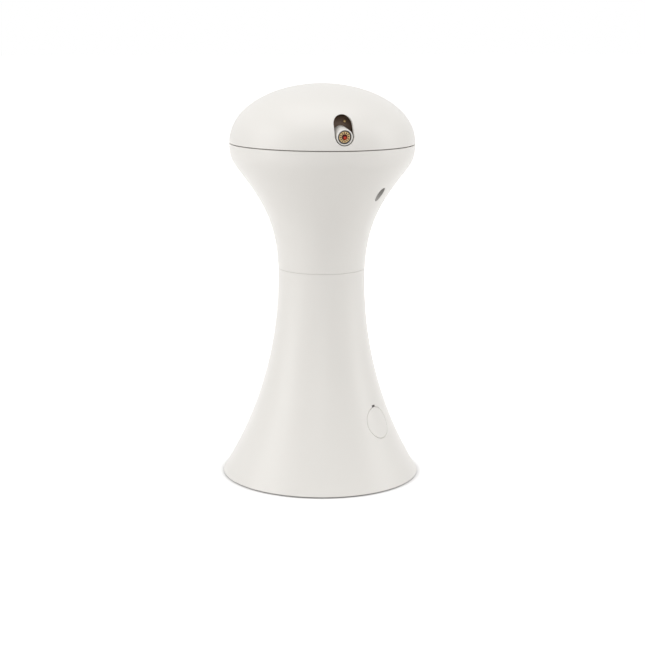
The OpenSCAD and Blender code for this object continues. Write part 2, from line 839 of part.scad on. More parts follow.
// ---- deck and drive ----------------------------------------------------------------------
module deck_plate() {
    color(natural) difference() {
        union() {
            translate([0, 0, deck_z]) cylinder(r = deck_r, h = deck_t);
            for (az = well_az)
                at(az, well_r, deck_z) cylinder(r = deck_boss_r, h = deck_t + deck_boss_h);
            translate([axle_xy[0], axle_xy[1], deck_z - axle_boss_h])
                cylinder(r = axle_boss_r, h = axle_boss_h + wheel_z - deck_z - gap);
            translate([0, 0, deck_z]) ring(deck_r, deck_r - wall, deck_t + deck_rim_h);
        }
        translate([0, 0, deck_z - cut]) cylinder(r = bush_r + fit, h = deck_t + 2 * cut);
        translate([axle_xy[0], axle_xy[1], deck_z - axle_boss_h - cut])
            cylinder(d = axle_d + fit, h = axle_boss_h + gear_level + cut, $fn = small_fn);
        translate([motor_xy[0], motor_xy[1], deck_z - cut])
            cylinder(d = can_nose_d + 2 * fit, h = deck_t + 2 * cut);
        at_motor_screws() {
            translate([0, 0, -cut])
                cylinder(d = motor_screw_d + gap, h = deck_t + 2 * cut, $fn = small_fn);
            translate([0, 0, deck_t - motor_head_h - fit])
                cylinder(d = motor_head_d + gap, h = motor_head_h + fit + cut, $fn = small_fn);
        }
        at(brush_az, brush_r, deck_z - cut)
            cylinder(d = plug_d + 2 * fit, h = deck_t + 2 * cut, $fn = small_fn);
        for (az = well_az)
            at(az, well_r, deck_z - cut)
                cylinder(d = screw_d + 2 * fit, h = well_seat_z + deck_screw_l + gap - deck_z + cut,
                         $fn = small_fn);
    }
}

module deck_screws() {
    color(steel) for (az = well_az) at(az, well_r, well_seat_z) screw(deck_screw_l);
}

module bearing_bush() {
    color(brass) translate([0, 0, deck_z - bush_low]) difference() {
        union() {
            cylinder(r = bush_r, h = bush_low + deck_t);
            translate([0, 0, bush_low + deck_t]) cylinder(r = bush_flange_r, h = bush_flange_t);
        }
        translate([0, 0, -cut])
            cylinder(d = spindle_d + 2 * fit, h = bush_low + deck_t + bush_flange_t + 2 * cut);
    }
}

// Frame of the motor: origin on its shaft at the deck's underside, +Y square to its flats
module motor_frame() {
    at(motor_az, motor_r, deck_z) children();
}

module at_motor_screws() {
    motor_frame() for (x = [-motor_screw_r, motor_screw_r]) translate([x, 0, 0]) children();
}

module can_outline(inset) {
    intersection() {
        circle(r = motor_d / 2 - inset);
        square([motor_d, motor_flat - 2 * inset], center = true);
    }
}

module motor_can() {
    color(steel) difference() {
        union() {
            motor_frame() {
                translate([0, 0, -motor_l]) linear_extrude(motor_l) can_outline(0);
                cylinder(d = can_nose_d, h = can_nose_h);
            }
        }
        motor_frame() {
            translate([0, 0, -motor_l - cut])
                linear_extrude(motor_l + cut - can_wall) can_outline(can_wall);
            translate([0, 0, -motor_l]) cylinder(d = motor_shaft_d + 2 * fit, h = motor_l + 2 * can_nose_h);
        }
        at_motor_screws()
            translate([0, 0, -can_wall - cut])
                cylinder(d = motor_screw_d + 2 * fit, h = can_wall + 2 * cut, $fn = small_fn);
    }
}

module motor_magnets() {
    color(dark_brown) motor_frame() translate([0, 0, -motor_l + endcap_plug + gap])
        linear_extrude(motor_l - endcap_plug - gap - can_wall - magnet_room)
            intersection() {
                difference() {
                    can_outline(can_wall + fit);
                    circle(r = motor_d / 2 - can_wall - fit - magnet_t);
                }
                union() {
                    for (x = [-1, 1])
                        translate([x * motor_d / 2, 0]) square([motor_d / 2, motor_d], center = true);
                }
            }
}

module motor_endcap() {
    color(natural) motor_frame() difference() {
        union() {
            translate([0, 0, -motor_l - endcap_t]) linear_extrude(endcap_t) can_outline(0);
            translate([0, 0, -motor_l]) linear_extrude(endcap_plug) can_outline(can_wall + fit);
        }
        translate([0, 0, -motor_l])
            cylinder(d = commutator_d + 2 * gap, h = endcap_plug + cut, $fn = small_fn);
        translate([0, 0, -motor_l - endcap_t / 2])
            cylinder(d = motor_shaft_d + 2 * fit, h = endcap_t, $fn = small_fn);
    }
}

module motor_screws() {
    color(steel) at_motor_screws()
        translate([0, 0, deck_t - motor_head_h])
            rotate([180, 0, 0])
                screw(motor_screw_l, head_d = motor_head_d, head = motor_head_h, d = motor_screw_d);
}

module motor_rotor() {
    rotor_r = motor_flat / 2 - can_wall - rotor_gap;
    rotor_low = -motor_l + endcap_plug + 2 * gap;
    color(copper) motor_frame() {
        translate([0, 0, rotor_low]) cylinder(r = rotor_r, h = -rotor_low - can_wall - rotor_room);
        translate([0, 0, -motor_l + gap]) cylinder(d = commutator_d, h = commutator_l, $fn = small_fn);
        translate([0, 0, -motor_l - endcap_t / 2 + gap])
            cylinder(d = motor_shaft_d, h = motor_l + endcap_t / 2 - gap + pinion_top, $fn = small_fn);
    }
}

// Rotation at which a gear's tooth points from "a" to "b", or a gap if half is true
function mesh_turn(a, b, teeth, half) = aim(a, b) + (half ? 180 / teeth : 0);

module motor_pinion() {
    color(brass) translate([motor_xy[0], motor_xy[1], deck_z + pinion_top - pinion_h]) difference() {
        rotate([0, 0, mesh_turn(motor_xy, axle_xy, pinion_teeth, true)]) gear(pinion_teeth, pinion_h);
        translate([0, 0, -cut])
            cylinder(d = motor_shaft_d + fit, h = pinion_h + 2 * cut, $fn = small_fn);
    }
}

module gear_axle() {
    color(steel) translate([axle_xy[0], axle_xy[1], deck_z - axle_boss_h])
        cylinder(d = axle_d, h = axle_boss_h + deck_t + gear_level + drive_t + 2 * gap, $fn = small_fn);
}

module reduction_gear() {
    color(natural) translate([axle_xy[0], axle_xy[1], wheel_z]) difference() {
        union() {
            rotate([0, 0, mesh_turn(axle_xy, motor_xy, wheel_teeth, false)]) gear(wheel_teeth, wheel_t);
            rotate([0, 0, mesh_turn(axle_xy, [0, 0], pinion_teeth, true)])
                gear(pinion_teeth, drive_z + drive_t - wheel_z);
        }
        translate([0, 0, -cut])
            cylinder(d = axle_d + 2 * fit, h = drive_z + drive_t - wheel_z + 2 * cut, $fn = small_fn);
    }
}

module drive_gear() {
    hub_z = deck_top + bush_flange_t + gap;
    color(natural) difference() {
        union() {
            translate([0, 0, drive_z])
                rotate([0, 0, mesh_turn([0, 0], axle_xy, drive_teeth, false)]) gear(drive_teeth, drive_t);
            translate([0, 0, hub_z]) cylinder(r = clip_r, h = drive_z - hub_z + overlap);
        }
        translate([0, 0, hub_z - cut])
            cylinder(d = spindle_d + fit, h = drive_z + drive_t - hub_z + 2 * cut);
    }
}

module spindle() {
    color(steel) difference() {
        translate([0, 0, spindle_low]) cylinder(d = spindle_d, h = spindle_top - spindle_low);
        translate([0, 0, clip_z - fit])
            ring(spindle_d, spindle_d / 2 - clip_groove, clip_t + 2 * fit);
    }
}

module retaining_clip() {
    mouth_w = spindle_d - 3 * clip_groove;
    color(steel) translate([0, 0, clip_z]) difference() {
        ring(clip_r, spindle_d / 2 - clip_groove + fit / 2, clip_t);
        translate([0, -mouth_w / 2, -cut]) cube([clip_r + cut, mouth_w, clip_t + 2 * cut]);
    }
}

module brush_block() {
    color(dark_brown) at(brush_az, brush_r, deck_top) {
        translate([-brush_w / 2, -brush_depth / 2, 0]) cube([brush_w, brush_depth, brush_h]);
        translate([0, 0, -deck_t - plug_reach])
            cylinder(d = plug_d, h = deck_t + plug_reach + overlap, $fn = small_fn);
    }
}

module contact_brushes() {
    rise = ring_z - track_t - deck_top - brush_h - gap;
    end = brush_w + brush_tip;
    color(copper) for (r = track_r)
        at(brush_az, r, deck_top + brush_h)
            translate([0, brush_strip_w / 2, 0]) rotate([90, 0, 0]) linear_extrude(brush_strip_w)
                polygon([[-brush_w / 2, 0], [0, 0], [brush_w, rise - brush_t],
                         [end, rise - brush_t - brush_hook], [end, rise - brush_hook], [brush_w, rise],
                         [brush_w - brush_tip, rise - brush_bow], [-brush_bow, brush_t],
                         [-brush_w / 2, brush_t]]);
}

// ---- head --------------------------------------------------------------------------------
module slip_ring_disc() {
    color(board_green) translate([0, 0, ring_z]) ring(ring_out, ring_in, ring_t);
}

module slip_ring_tracks() {
    color(brass) for (r = track_r)
        translate([0, 0, ring_z - track_t]) ring(r + track_w / 2, r - track_w / 2, track_t);
}

module ear(x) {
    translate([x, -ear_r, plate_top - overlap]) cube([ear_t, 2 * ear_r, pivot_z - plate_top + overlap]);
    translate([x, 0, pivot_z]) rotate([0, 90, 0]) cylinder(r = ear_r, h = ear_t);
}

module turntable_plate() {
    ear_x = barrel_d / 2 + ear_gap;
    color(dark_brown) difference() {
        union() {
            translate([0, 0, plate_z]) cylinder(r = plate_r, h = plate_t);
            translate([0, 0, plate_z - lip_h]) ring(lip_r, lip_r - lip_t, lip_h + overlap);
            translate([0, 0, drive_z + drive_t]) cylinder(r = hub_r, h = spindle_top - drive_z - drive_t);
            for (az = barrel_az)
                at(az, pivot_r) {
                    ear(ear_x);
                    ear(-ear_x - ear_t);
                }
        }
        translate([0, 0, drive_z]) cylinder(d = spindle_d + fit, h = spindle_top - drive_z + cut);
        for (az = barrel_az)
            at(az, pivot_r, pivot_z)
                rotate([0, 90, 0])
                    cylinder(d = trunnion_d + 2 * fit, h = 4 * barrel_d, center = true, $fn = small_fn);
        for (az = cap_post_az)
            at(az, cap_post_r, plate_z - cut)
                cylinder(d = screw_d + 2 * gap, h = plate_t + 2 * cut, $fn = small_fn);
    }
}

module slot_cutter() {
    reach = head_d / 2;
    for (z = [slot_low_z, slot_high_z])
        translate([0, 0, z]) rotate([90, 0, 0]) cylinder(d = slot_w, h = reach);
    translate([-slot_w / 2, -reach, slot_low_z]) cube([slot_w, reach, slot_high_z - slot_low_z]);
}

module cap_dome() {
    color(shell_white) difference() {
        union() {
            spin(concat(cap_outer, backward(cap_inner)));
            intersection() {
                for (az = cap_post_az) at(az, cap_post_r, plate_top) cylinder(r = cap_boss_r, h = cap_h);
                spin(concat([[0, cap_z]], inward(cap_outer, wall / 2)));
            }
        }
        for (az = barrel_az) at(az, pivot_r) slot_cutter();
        for (az = cap_post_az)
            at(az, cap_post_r, plate_top - cut)
                cylinder(d = screw_d + 2 * fit, h = cap_screw_l - plate_t + gap + cut, $fn = small_fn);
    }
}

module cap_screws() {
    color(steel) for (az = cap_post_az) at(az, cap_post_r, plate_z) screw(cap_screw_l, head = cap_head_h);
}

// ---- light barrels -------------------------------------------------------------------------
module laser_barrel(az) {
    r = barrel_d / 2;
    bore = barrel_bore_d / 2;
    edge = soft_edge;
    color(shell_white) barrel_frame(az) difference() {
        union() {
            spin([[0, -barrel_back], [r - edge, -barrel_back], [r, edge - barrel_back],
                  [r, barrel_front - edge], [r - edge, barrel_front], [0, barrel_front]]);
            rotate([0, 90, 0])
                cylinder(d = trunnion_d, h = barrel_d + 2 * trunnion_reach, center = true, $fn = small_fn);
        }
        translate([0, 0, -barrel_back - cut]) cylinder(r = bore, h = barrel_back + barrel_front + 2 * cut);
    }
}

module laser_module(az) {
    r = module_d / 2;
    edge = soft_edge;
    hole = aperture_d / 2;
    cup = lens_d / 2 + fit;
    face = module_face;
    color(brass) barrel_frame(az) translate([0, 0, barrel_front - mouth_depth - module_l])
        spin([[0, 0], [r, 0], [r, module_l - edge], [r - edge, module_l], [hole + edge, module_l],
              [hole, module_l - edge], [hole, module_l - face], [cup, module_l - face],
              [cup, module_l - face - lens_t - 2 * fit], [0, module_l - face - lens_t - 2 * fit]]);
}

module laser_lens(az) {
    color(lens_red) barrel_frame(az)
        translate([0, 0, barrel_front - mouth_depth - module_face - fit - lens_t])
            spin([[0, 0], [lens_d / 2, 0], [lens_d / 2, lens_t - lens_dome],
                  [lens_d / 4, lens_t - lens_dome / 4], [0, lens_t]]);
}

module laser_board(az) {
    low = barrel_front - mouth_depth - module_l - light_board_l;
    color(board_green) barrel_frame(az)
        translate([-light_board_w / 2, -light_board_t / 2, low])
            cube([light_board_w, light_board_t, light_board_l]);
}

module across_shield(w) {
    rotate([0, 90, 0]) translate([0, 0, -w / 2]) children();
}

// Dark visor round a barrel, which closes the slot from inside and tilts with the barrel
module barrel_shield(az) {
    far = 2 * shield_r;
    middle_r = shield_r - shield_t / 2;
    color(dark_brown) barrel_frame(az) difference() {
        union() {
            intersection() {
                across_shield(shield_w) ring(shield_r, shield_r - shield_t, shield_w);
                across_shield(2 * shield_w)
                    linear_extrude(2 * shield_w)
                        polygon([[0, 0], [-far * cos(shield_low), far * sin(shield_low)],
                                 [-far * cos(shield_high), far * sin(shield_high)]]);
            }
            intersection() {
                across_shield(shield_w) cylinder(r = middle_r, h = shield_w);
                translate([0, 0, middle_r - shield_collar_l])
                    cylinder(r = barrel_d / 2 + shield_collar_t, h = far, $fn = small_fn);
            }
            rotate([-pip_turn, 0, 0]) translate([shield_collar_t, 0, middle_r])
                cylinder(r = pip_r, h = shield_t / 2 + pip_r / 2, $fn = small_fn);
        }
        cylinder(d = barrel_d + 2 * fit, h = far, $fn = small_fn);
    }
}

module laser_barrel_front() { laser_barrel(barrel_az[0]); }
module laser_module_front() { laser_module(barrel_az[0]); }
module laser_lens_front() { laser_lens(barrel_az[0]); }
module laser_board_front() { laser_board(barrel_az[0]); }
module barrel_shield_front() { barrel_shield(barrel_az[0]); }
module laser_barrel_rear() { laser_barrel(barrel_az[1]); }
module laser_module_rear() { laser_module(barrel_az[1]); }
module laser_lens_rear() { laser_lens(barrel_az[1]); }
module laser_board_rear() { laser_board(barrel_az[1]); }
module barrel_shield_rear() { barrel_shield(barrel_az[1]); }

// ---- wires -----------------------------------------------------------------------------------
module laser_wires() {
    board_end = barrel_front - mouth_depth - module_l - light_board_l;
    back = -pivot_r + barrel_back;
    color(copper) for (az = barrel_az)
        for (x = [-1, 1])
            at(az, 0)
                tube(smooth([[x, -pivot_r - board_end + 2 * gap, pivot_z],
                             [x, back, pivot_z + slip],
                             [x, back + barrel_loop[0], pivot_z - wire_pull],
                             [x, back + barrel_loop[1], (pivot_z + plate_top) / 2],
                             [x, back + barrel_loop[2], plate_top + wire_gap]],
                            wire_steps), wire_d / 2);
}

module wire_pair(left, right) {
    color(copper) for (p = [left, right])
        tube(smooth(p, wire_steps), wire_d / 2, up = [0, 1, 0]);
}

function pad_end(pads, x, d) = board_back(pads[0] + x, pads[1], d);
function trunk(xy, z, x) = [xy[0] + x, xy[1], z];
function battery_route(x) = [
    [battery_plug_x + x, 0, bay_top_z + wire_gap], [battery_plug_x + x, 0, bay_top_z + wire_stub / 2],
    [battery_plug_x + x, -wire_stub, bay_top_z + wire_stub - wire_pull],
    pad_end(battery_pads, x, wire_stub), pad_end(battery_pads, x, wire_gap)];
function motor_route(x) = let (
    foot = deck_z - motor_l - endcap_t,
    tab = [motor_xy[0] + motor_tab_pitch * x, motor_xy[1] + motor_tab_y])
    concat([pad_end(motor_pads, x, wire_gap), pad_end(motor_pads, x, wire_stub * 1.5)],
           [for (i = [0:len(trunk_z) - 1]) trunk(motor_trunk[i], trunk_z[i], x)],
           [[motor_xy[0] + 2 * x, motor_xy[1] - 3, foot - 3 * wire_stub],
            [tab[0], tab[1], foot - wire_stub], [tab[0], tab[1], foot - wire_gap]]);
function brush_route(x) = let (
    foot = deck_z - plug_reach,
    end = spot(brush_az, brush_r),
    turns = concat(trunk_z, [trunk_top_z]))
    concat([pad_end(brush_pads, x, wire_gap), pad_end(brush_pads, x, wire_stub * 1.25)],
           [for (i = [0:len(turns) - 1]) trunk(brush_trunk[i], turns[i], x)],
           [trunk(end, foot - wire_stub, x), trunk(end, foot - wire_gap, x)]);

module battery_wires() { wire_pair(battery_route(-1), battery_route(1)); }
module motor_wires() { wire_pair(motor_route(-1), motor_route(1)); }
module brush_wires() { wire_pair(brush_route(-1), brush_route(1)); }

lower_shell();
upper_shell();
base_plate();
rubber_feet();
base_screws();
battery_door();
door_screw();
battery_cells();
battery_springs();
battery_contacts();
power_button();
switch_plunger();
button_spring();
tact_switch();
main_board();
board_screws();
status_window();
neck_screws();
deck_plate();
deck_screws();
bearing_bush();
motor_can();
motor_magnets();
motor_endcap();
motor_screws();
motor_rotor();
motor_pinion();
gear_axle();
reduction_gear();
drive_gear();
spindle();
retaining_clip();
brush_block();
contact_brushes();
slip_ring_disc();
slip_ring_tracks();
turntable_plate();
cap_dome();
cap_screws();
laser_barrel_front();
laser_module_front();
laser_lens_front();
laser_board_front();
barrel_shield_front();
laser_barrel_rear();
laser_module_rear();
laser_lens_rear();
laser_board_rear();
barrel_shield_rear();
laser_wires();
battery_wires();
motor_wires();
brush_wires();
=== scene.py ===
import json
import math
from bisect import bisect_left

import bpy
from mathutils import Matrix, Vector


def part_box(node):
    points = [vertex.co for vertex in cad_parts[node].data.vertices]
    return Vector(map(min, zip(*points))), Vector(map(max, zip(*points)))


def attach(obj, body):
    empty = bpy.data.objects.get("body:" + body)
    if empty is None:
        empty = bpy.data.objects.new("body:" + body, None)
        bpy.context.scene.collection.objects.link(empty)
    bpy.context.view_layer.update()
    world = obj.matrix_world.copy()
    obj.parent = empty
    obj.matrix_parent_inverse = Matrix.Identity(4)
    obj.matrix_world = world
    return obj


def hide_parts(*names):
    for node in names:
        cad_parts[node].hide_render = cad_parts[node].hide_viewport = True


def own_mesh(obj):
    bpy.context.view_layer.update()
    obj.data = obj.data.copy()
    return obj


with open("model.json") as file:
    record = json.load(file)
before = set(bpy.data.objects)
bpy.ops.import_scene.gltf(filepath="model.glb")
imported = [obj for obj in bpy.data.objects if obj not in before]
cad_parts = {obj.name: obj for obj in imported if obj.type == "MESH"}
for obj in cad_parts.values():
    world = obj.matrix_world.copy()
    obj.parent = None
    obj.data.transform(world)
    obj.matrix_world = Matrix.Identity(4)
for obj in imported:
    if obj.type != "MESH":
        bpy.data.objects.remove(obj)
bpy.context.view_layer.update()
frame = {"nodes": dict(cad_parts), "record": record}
print("frame loaded with", len(frame["nodes"]), "CAD nodes")

mm = 0.001
tiny = 1e-6
quarterTurn = math.pi / 2


def boxInMm(node):
    low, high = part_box(node)
    return low / mm, high / mm


# finishes: one function for each kind of surface, shared by what has that finish

def newFinish(name, color, roughness, metallic=0.0):
    made = bpy.data.materials.new(name)
    made.use_nodes = True
    tree = made.node_tree
    shader = tree.nodes["Principled BSDF"]
    shader.inputs["Base Color"].default_value = (*color, 1)
    shader.inputs["Roughness"].default_value = roughness
    shader.inputs["Metallic"].default_value = metallic
    return made, tree, shader


def noiseField(tree, scale, detail=3.0, stretch=(1, 1, 1)):
    # soft noise in the piece's own space; stretch draws it out along a tool's path
    place = tree.nodes.new("ShaderNodeTexCoord")
    spread = tree.nodes.new("ShaderNodeMapping")
    spread.inputs["Scale"].default_value = stretch
    noise = tree.nodes.new("ShaderNodeTexNoise")
    noise.inputs["Scale"].default_value = scale
    noise.inputs["Detail"].default_value = detail
    tree.links.new(place.outputs["Object"], spread.inputs["Vector"])
    tree.links.new(spread.outputs["Vector"], noise.inputs["Vector"])
    return noise.outputs["Fac"]


def mottle(tree, shader, field, dark, light, start=0.35, end=0.65):
    ramp = tree.nodes.new("ShaderNodeValToRGB")
    ramp.color_ramp.elements[0].position = start
    ramp.color_ramp.elements[1].position = end
    ramp.color_ramp.elements[0].color = (*dark, 1)
    ramp.color_ramp.elements[1].color = (*light, 1)
    tree.links.new(field, ramp.inputs["Fac"])
    tree.links.new(ramp.outputs["Color"], shader.inputs["Base Color"])


def varyRoughness(tree, shader, field, low, high, start=0.3, end=0.7):
    spread = tree.nodes.new("ShaderNodeMapRange")
    spread.inputs["From Min"].default_value = start
    spread.inputs["From Max"].default_value = end
    spread.inputs["To Min"].default_value = low
    spread.inputs["To Max"].default_value = high
    tree.links.new(field, spread.inputs["Value"])
    tree.links.new(spread.outputs["Result"], shader.inputs["Roughness"])


def addGrain(tree, shader, field, strength, depth):
    bump = tree.nodes.new("ShaderNodeBump")
    bump.inputs["Strength"].default_value = strength
    bump.inputs["Distance"].default_value = depth
    tree.links.new(field, bump.inputs["Height"])
    tree.links.new(bump.outputs["Normal"], shader.inputs["Normal"])


def shade(color, factor):
    return tuple(min(1, c * factor) for c in color)


def moulded(name, color, roughness, grain=1400, relief=0.00002, contrast=0.012, strength=0.12,
            spread=0.1, shine=0.5, toneScale=45, glossScale=160):
    made, tree, shader = newFinish(name, color, roughness)
    shader.inputs["Specular IOR Level"].default_value = shine
    mottle(tree, shader, noiseField(tree, toneScale), shade(color, 1 - contrast), shade(color, 1 + contrast))
    varyRoughness(tree, shader, noiseField(tree, glossScale),
                  roughness * (1 - spread), roughness * (1 + spread))
    addGrain(tree, shader, noiseField(tree, grain, 2), strength, relief)
    return made


def machined(name, color, roughness, stretch=(1, 1, 12), contrast=0.08, dull=(0.75, 1.3),
             toneScale=900, glossScale=500, grain=2600, strength=0.2, relief=0.00001):
    made, tree, shader = newFinish(name, color, roughness, 1.0)
    mottle(tree, shader, noiseField(tree, toneScale, 4, stretch),
           shade(color, 1 - contrast), shade(color, 1 + contrast))
    varyRoughness(tree, shader, noiseField(tree, glossScale, 3, stretch),
                  roughness * dull[0], roughness * dull[1])
    addGrain(tree, shader, noiseField(tree, grain, 2, stretch), strength, relief)
    return made


shellColor = (0.812, 0.790, 0.752)
finishes = {
    "shell": moulded("warmWhiteSatin", shellColor, 0.34, grain=1800, relief=0.000008,
                     contrast=0.003, strength=0.06, spread=0.04, shine=0.4),
    "barrel": moulded("barrelWhite", shellColor, 0.34, grain=1800, relief=0.00001,
                      contrast=0.006, strength=0.08, spread=0.05, shine=0.4),
    "foot_rubber": moulded("footRubber", (0.035, 0.03, 0.028), 0.72, grain=900, relief=0.00006,
                           contrast=0.15, strength=0.5),
    "screw_steel": machined("zincSteel", (0.62, 0.63, 0.65), 0.32),
    "cell_sleeve": moulded("cellSleeve", (0.045, 0.047, 0.052), 0.3, grain=700, contrast=0.1),
    "spring_steel": machined("springNickel", (0.7, 0.68, 0.65), 0.25),
    "switch_black": moulded("blackNylon", (0.03, 0.029, 0.028), 0.5, grain=1200, relief=0.00004,
                            contrast=0.12, strength=0.3),
    "board": moulded("solderMask", (0.012, 0.085, 0.035), 0.38, grain=600, relief=0.00003,
                     contrast=0.2, strength=0.3),
    "window": moulded("smokedWindow", (0.05, 0.042, 0.038), 0.12, grain=300, relief=0.00001,
                      contrast=0.1, strength=0.05),
    "natural_nylon": moulded("naturalNylon", (0.70, 0.66, 0.54), 0.5, grain=800, relief=0.00004,
                             contrast=0.05, strength=0.3),
    "bush_brass": machined("bushBrass", (0.64, 0.42, 0.15), 0.3),
    "module_brass": machined("turnedBrass", (0.5, 0.35, 0.17), 0.4, stretch=(1, 1, 1)),
    # near-black for the floors of the milled ticks: painted shade in the recesses
    "painted_tick_shade": moulded("paintedTickShade", (0.03, 0.02, 0.012), 0.5, grain=900, relief=0.00004,
                            contrast=0.3, strength=0.4),
    "can_steel": machined("canSteel", (0.5, 0.5, 0.52), 0.35, stretch=(1, 1, 20)),
    "rotor_copper": machined("woundCopper", (0.7, 0.3, 0.16), 0.35, stretch=(1, 1, 8)),
    "turntable": moulded("darkBrownNylon", (0.1, 0.06, 0.038), 0.5, grain=900, relief=0.00012,
                         contrast=0.45, strength=0.8),
    # grey for the liners in the screw wells: painted shade
    "well_shade": moulded("wellShadeGrey", (0.33, 0.32, 0.3), 0.5, grain=1200, relief=0.00003,
                     contrast=0.06, strength=0.3),
    "wire": moulded("wireInsulation", (0.36, 0.03, 0.022), 0.45, grain=500, contrast=0.1, strength=0.2),
}

# red lens, with a painted glow on it
redLensLook = {
    "color": (0.02, 0.001, 0.001),
    "dark": (0.012, 0.001, 0.0008),
    "light": (0.03, 0.002, 0.0015),
    "mottleScale": 1500,
    "roughness": 0.2,
    "shine": 0.15,
    "glowPlace": (0.6, 0, 0.38),  # in shares of the lens's own box
    "glowStart": 0.03,
    "glowEnd": 0.2,
    "glowColor": (0.62, 0.05, 0.025),
    "glowFaded": (0.02, 0.001, 0.0008),
}


def lensFinish():
    # a painted red glow: the emission sits low and to one side of the middle, as seen through the aperture
    g = redLensLook
    made, tree, shader = newFinish("redLens", g["color"], g["roughness"])
    shader.inputs["Specular IOR Level"].default_value = g["shine"]
    shader.inputs["Emission Strength"].default_value = 1.0
    mottle(tree, shader, noiseField(tree, g["mottleScale"]), g["dark"], g["light"])
    place = tree.nodes.new("ShaderNodeTexCoord")
    flat = tree.nodes.new("ShaderNodeVectorMath")
    flat.operation = "MULTIPLY"
    flat.inputs[1].default_value = (1, 0, 1)
    reach = tree.nodes.new("ShaderNodeVectorMath")
    reach.operation = "DISTANCE"
    reach.inputs[1].default_value = g["glowPlace"]
    glow = tree.nodes.new("ShaderNodeValToRGB")
    near, far = glow.color_ramp.elements
    near.position = g["glowStart"]
    near.color = (*g["glowColor"], 1)
    far.position = g["glowEnd"]
    far.color = (*g["glowFaded"], 1)
    tree.links.new(place.outputs["Generated"], flat.inputs[0])
    tree.links.new(flat.outputs["Vector"], reach.inputs[0])
    tree.links.new(reach.outputs["Value"], glow.inputs["Fac"])
    tree.links.new(glow.outputs["Color"], shader.inputs["Emission Color"])
    return made


finishes["lens"] = lensFinish()

slotOf = {part["node"]: part["material_slot"] for part in frame["record"]["subparts"]}
for node, piece in frame["nodes"].items():
    piece.data.materials.clear()
    piece.data.materials.append(finishes[slotOf[node]])
print("finishes:", len(finishes))


# outline of the stand: r over z, the same curves as the CAD outline, in millimetres

footLow, footHigh = boxInMm("lower_shell")
headLow, headHigh = boxInMm("upper_shell")
capLow, capHigh = boxInMm("cap_dome")

outline = {
    "waistRadius": 21.0,
    "waistHeight": 97.5,
    "flareRadius": 33.7,  # where the funnel is steepest
    "flareHeight": 140.8,
    "footSlope": 0.608,
    "footPull": 27.0,
    "waistPullDown": 36.8,
    "waistPullUp": 19.6,
    "flareSlope": 0.687,
    "flarePullDown": 12.1,
    "flarePullUp": 11.7,
    "headPull": 9.3,
    "capPower": 2.1,
    "capRound": 0.51,
    "wall": 2.0,
    "around": 256,  # columns of a shell's mesh
    "rowPitch": 1.1,
    "samples": 260,
}


def quarterArc(steps):
    return [quarterTurn * i / steps for i in range(steps + 1)]


def bezier(p, t):
    weights = ((1 - t) ** 3, 3 * t * (1 - t) ** 2, 3 * t * t * (1 - t), t ** 3)
    return tuple(sum(w * q[k] for w, q in zip(weights, p)) for k in (0, 1))


def standCurves():
    o = outline
    waist = (o["waistRadius"], o["waistHeight"])
    flare = (o["flareRadius"], o["flareHeight"])
    foot = (footHigh.x, footLow.z)
    rim = (headHigh.x, headHigh.z)
    bell = [foot, (foot[0] - o["footSlope"] * o["footPull"], foot[1] + o["footPull"]),
            (waist[0], waist[1] - o["waistPullDown"]), waist]
    neck = [waist, (waist[0], waist[1] + o["waistPullUp"]),
            (flare[0] - o["flareSlope"] * o["flarePullDown"], flare[1] - o["flarePullDown"]), flare]
    shoulder = [flare, (flare[0] + o["flareSlope"] * o["flarePullUp"], flare[1] + o["flarePullUp"]),
                (rim[0], rim[1] - o["headPull"]), rim]
    n = o["samples"]
    return [bezier(curve, i / n) for curve in (bell, neck, shoulder) for i in range(n)] + [rim]


def capPoint(angle):
    share = math.sin(angle) ** outline["capPower"]
    return (capHigh.x * max(0, 1 - share) ** outline["capRound"],
            capLow.z + (capHigh.z - capLow.z) * math.sin(angle))


def capCurve(n):
    return [capPoint(a) for a in quarterArc(n)]


def movedInward(points, depth):
    # square to the curve at each point
    moved = []
    for i, (r, z) in enumerate(points):
        before, after = points[max(i - 1, 0)], points[min(i + 1, len(points) - 1)]
        dr, dz = after[0] - before[0], after[1] - before[1]
        size = math.hypot(dr, dz)
        moved.append((max(0, r - depth * dz / size), z + depth * dr / size))
    return moved


standOuter = standCurves()
standInner = movedInward(standOuter, outline["wall"])
capOuter = capCurve(outline["samples"])
capInner = movedInward(capOuter, outline["wall"])


def radiusAt(curve, z):
    # curve is a list of (r, z) that rises
    i = min(max(bisect_left(curve, z, key=lambda p: p[1]), 1), len(curve) - 1)
    (r0, z0), (r1, z1) = curve[i - 1], curve[i]
    return r0 + (r1 - r0) * (z - z0) / (z1 - z0)


# rounded corners, and a shell's outside carried all the way round

def softCorner(before, corner, after, size, steps=4):
    # a small curve in place of a corner, no longer than half of either side
    def towards(p):
        d = Vector(p) - Vector(corner)
        return Vector(corner) + d.normalized() * min(size, d.length / 2)
    a, b, c = towards(before), Vector(corner), towards(after)
    return [tuple(a * (1 - t) ** 2 + b * 2 * t * (1 - t) + c * t * t)
            for t in (i / steps for i in range(steps + 1))]


def softProfile(corners, steps=4):
    # corners is a closed list of (r, z, softness)
    n = len(corners)
    points = []
    for i, (r, z, soft) in enumerate(corners):
        if soft:
            points += softCorner(corners[i - 1][:2], (r, z), corners[(i + 1) % n][:2], soft, steps)
        else:
            points.append((r, z))
    return points


def addFace(faces, *corners):
    # leaves out doubled corners, and the face where fewer than three are left
    kept = [c for i, c in enumerate(corners) if c != corners[i - 1]]
    if len(kept) > 2:
        faces.append(kept)


def addRing(verts, points):
    start = len(verts)
    verts.extend(points)
    return list(range(start, start + len(points)))


def roundOver(size, steps=4):
    # (inset, depth) along a quarter round, from the face down to the side
    return [(size * (1 - math.sin(a)), size * (1 - math.cos(a))) for a in quarterArc(steps)]


def bridge(faces, a, b):
    # a closed band between two rings of as many points
    for i in range(len(a)):
        addFace(faces, a[i - 1], a[i], b[i], b[i - 1])


def spun(r, z, az):
    # azimuth 0 is the front, -y
    return Vector((r * math.sin(az), -r * math.cos(az), z))


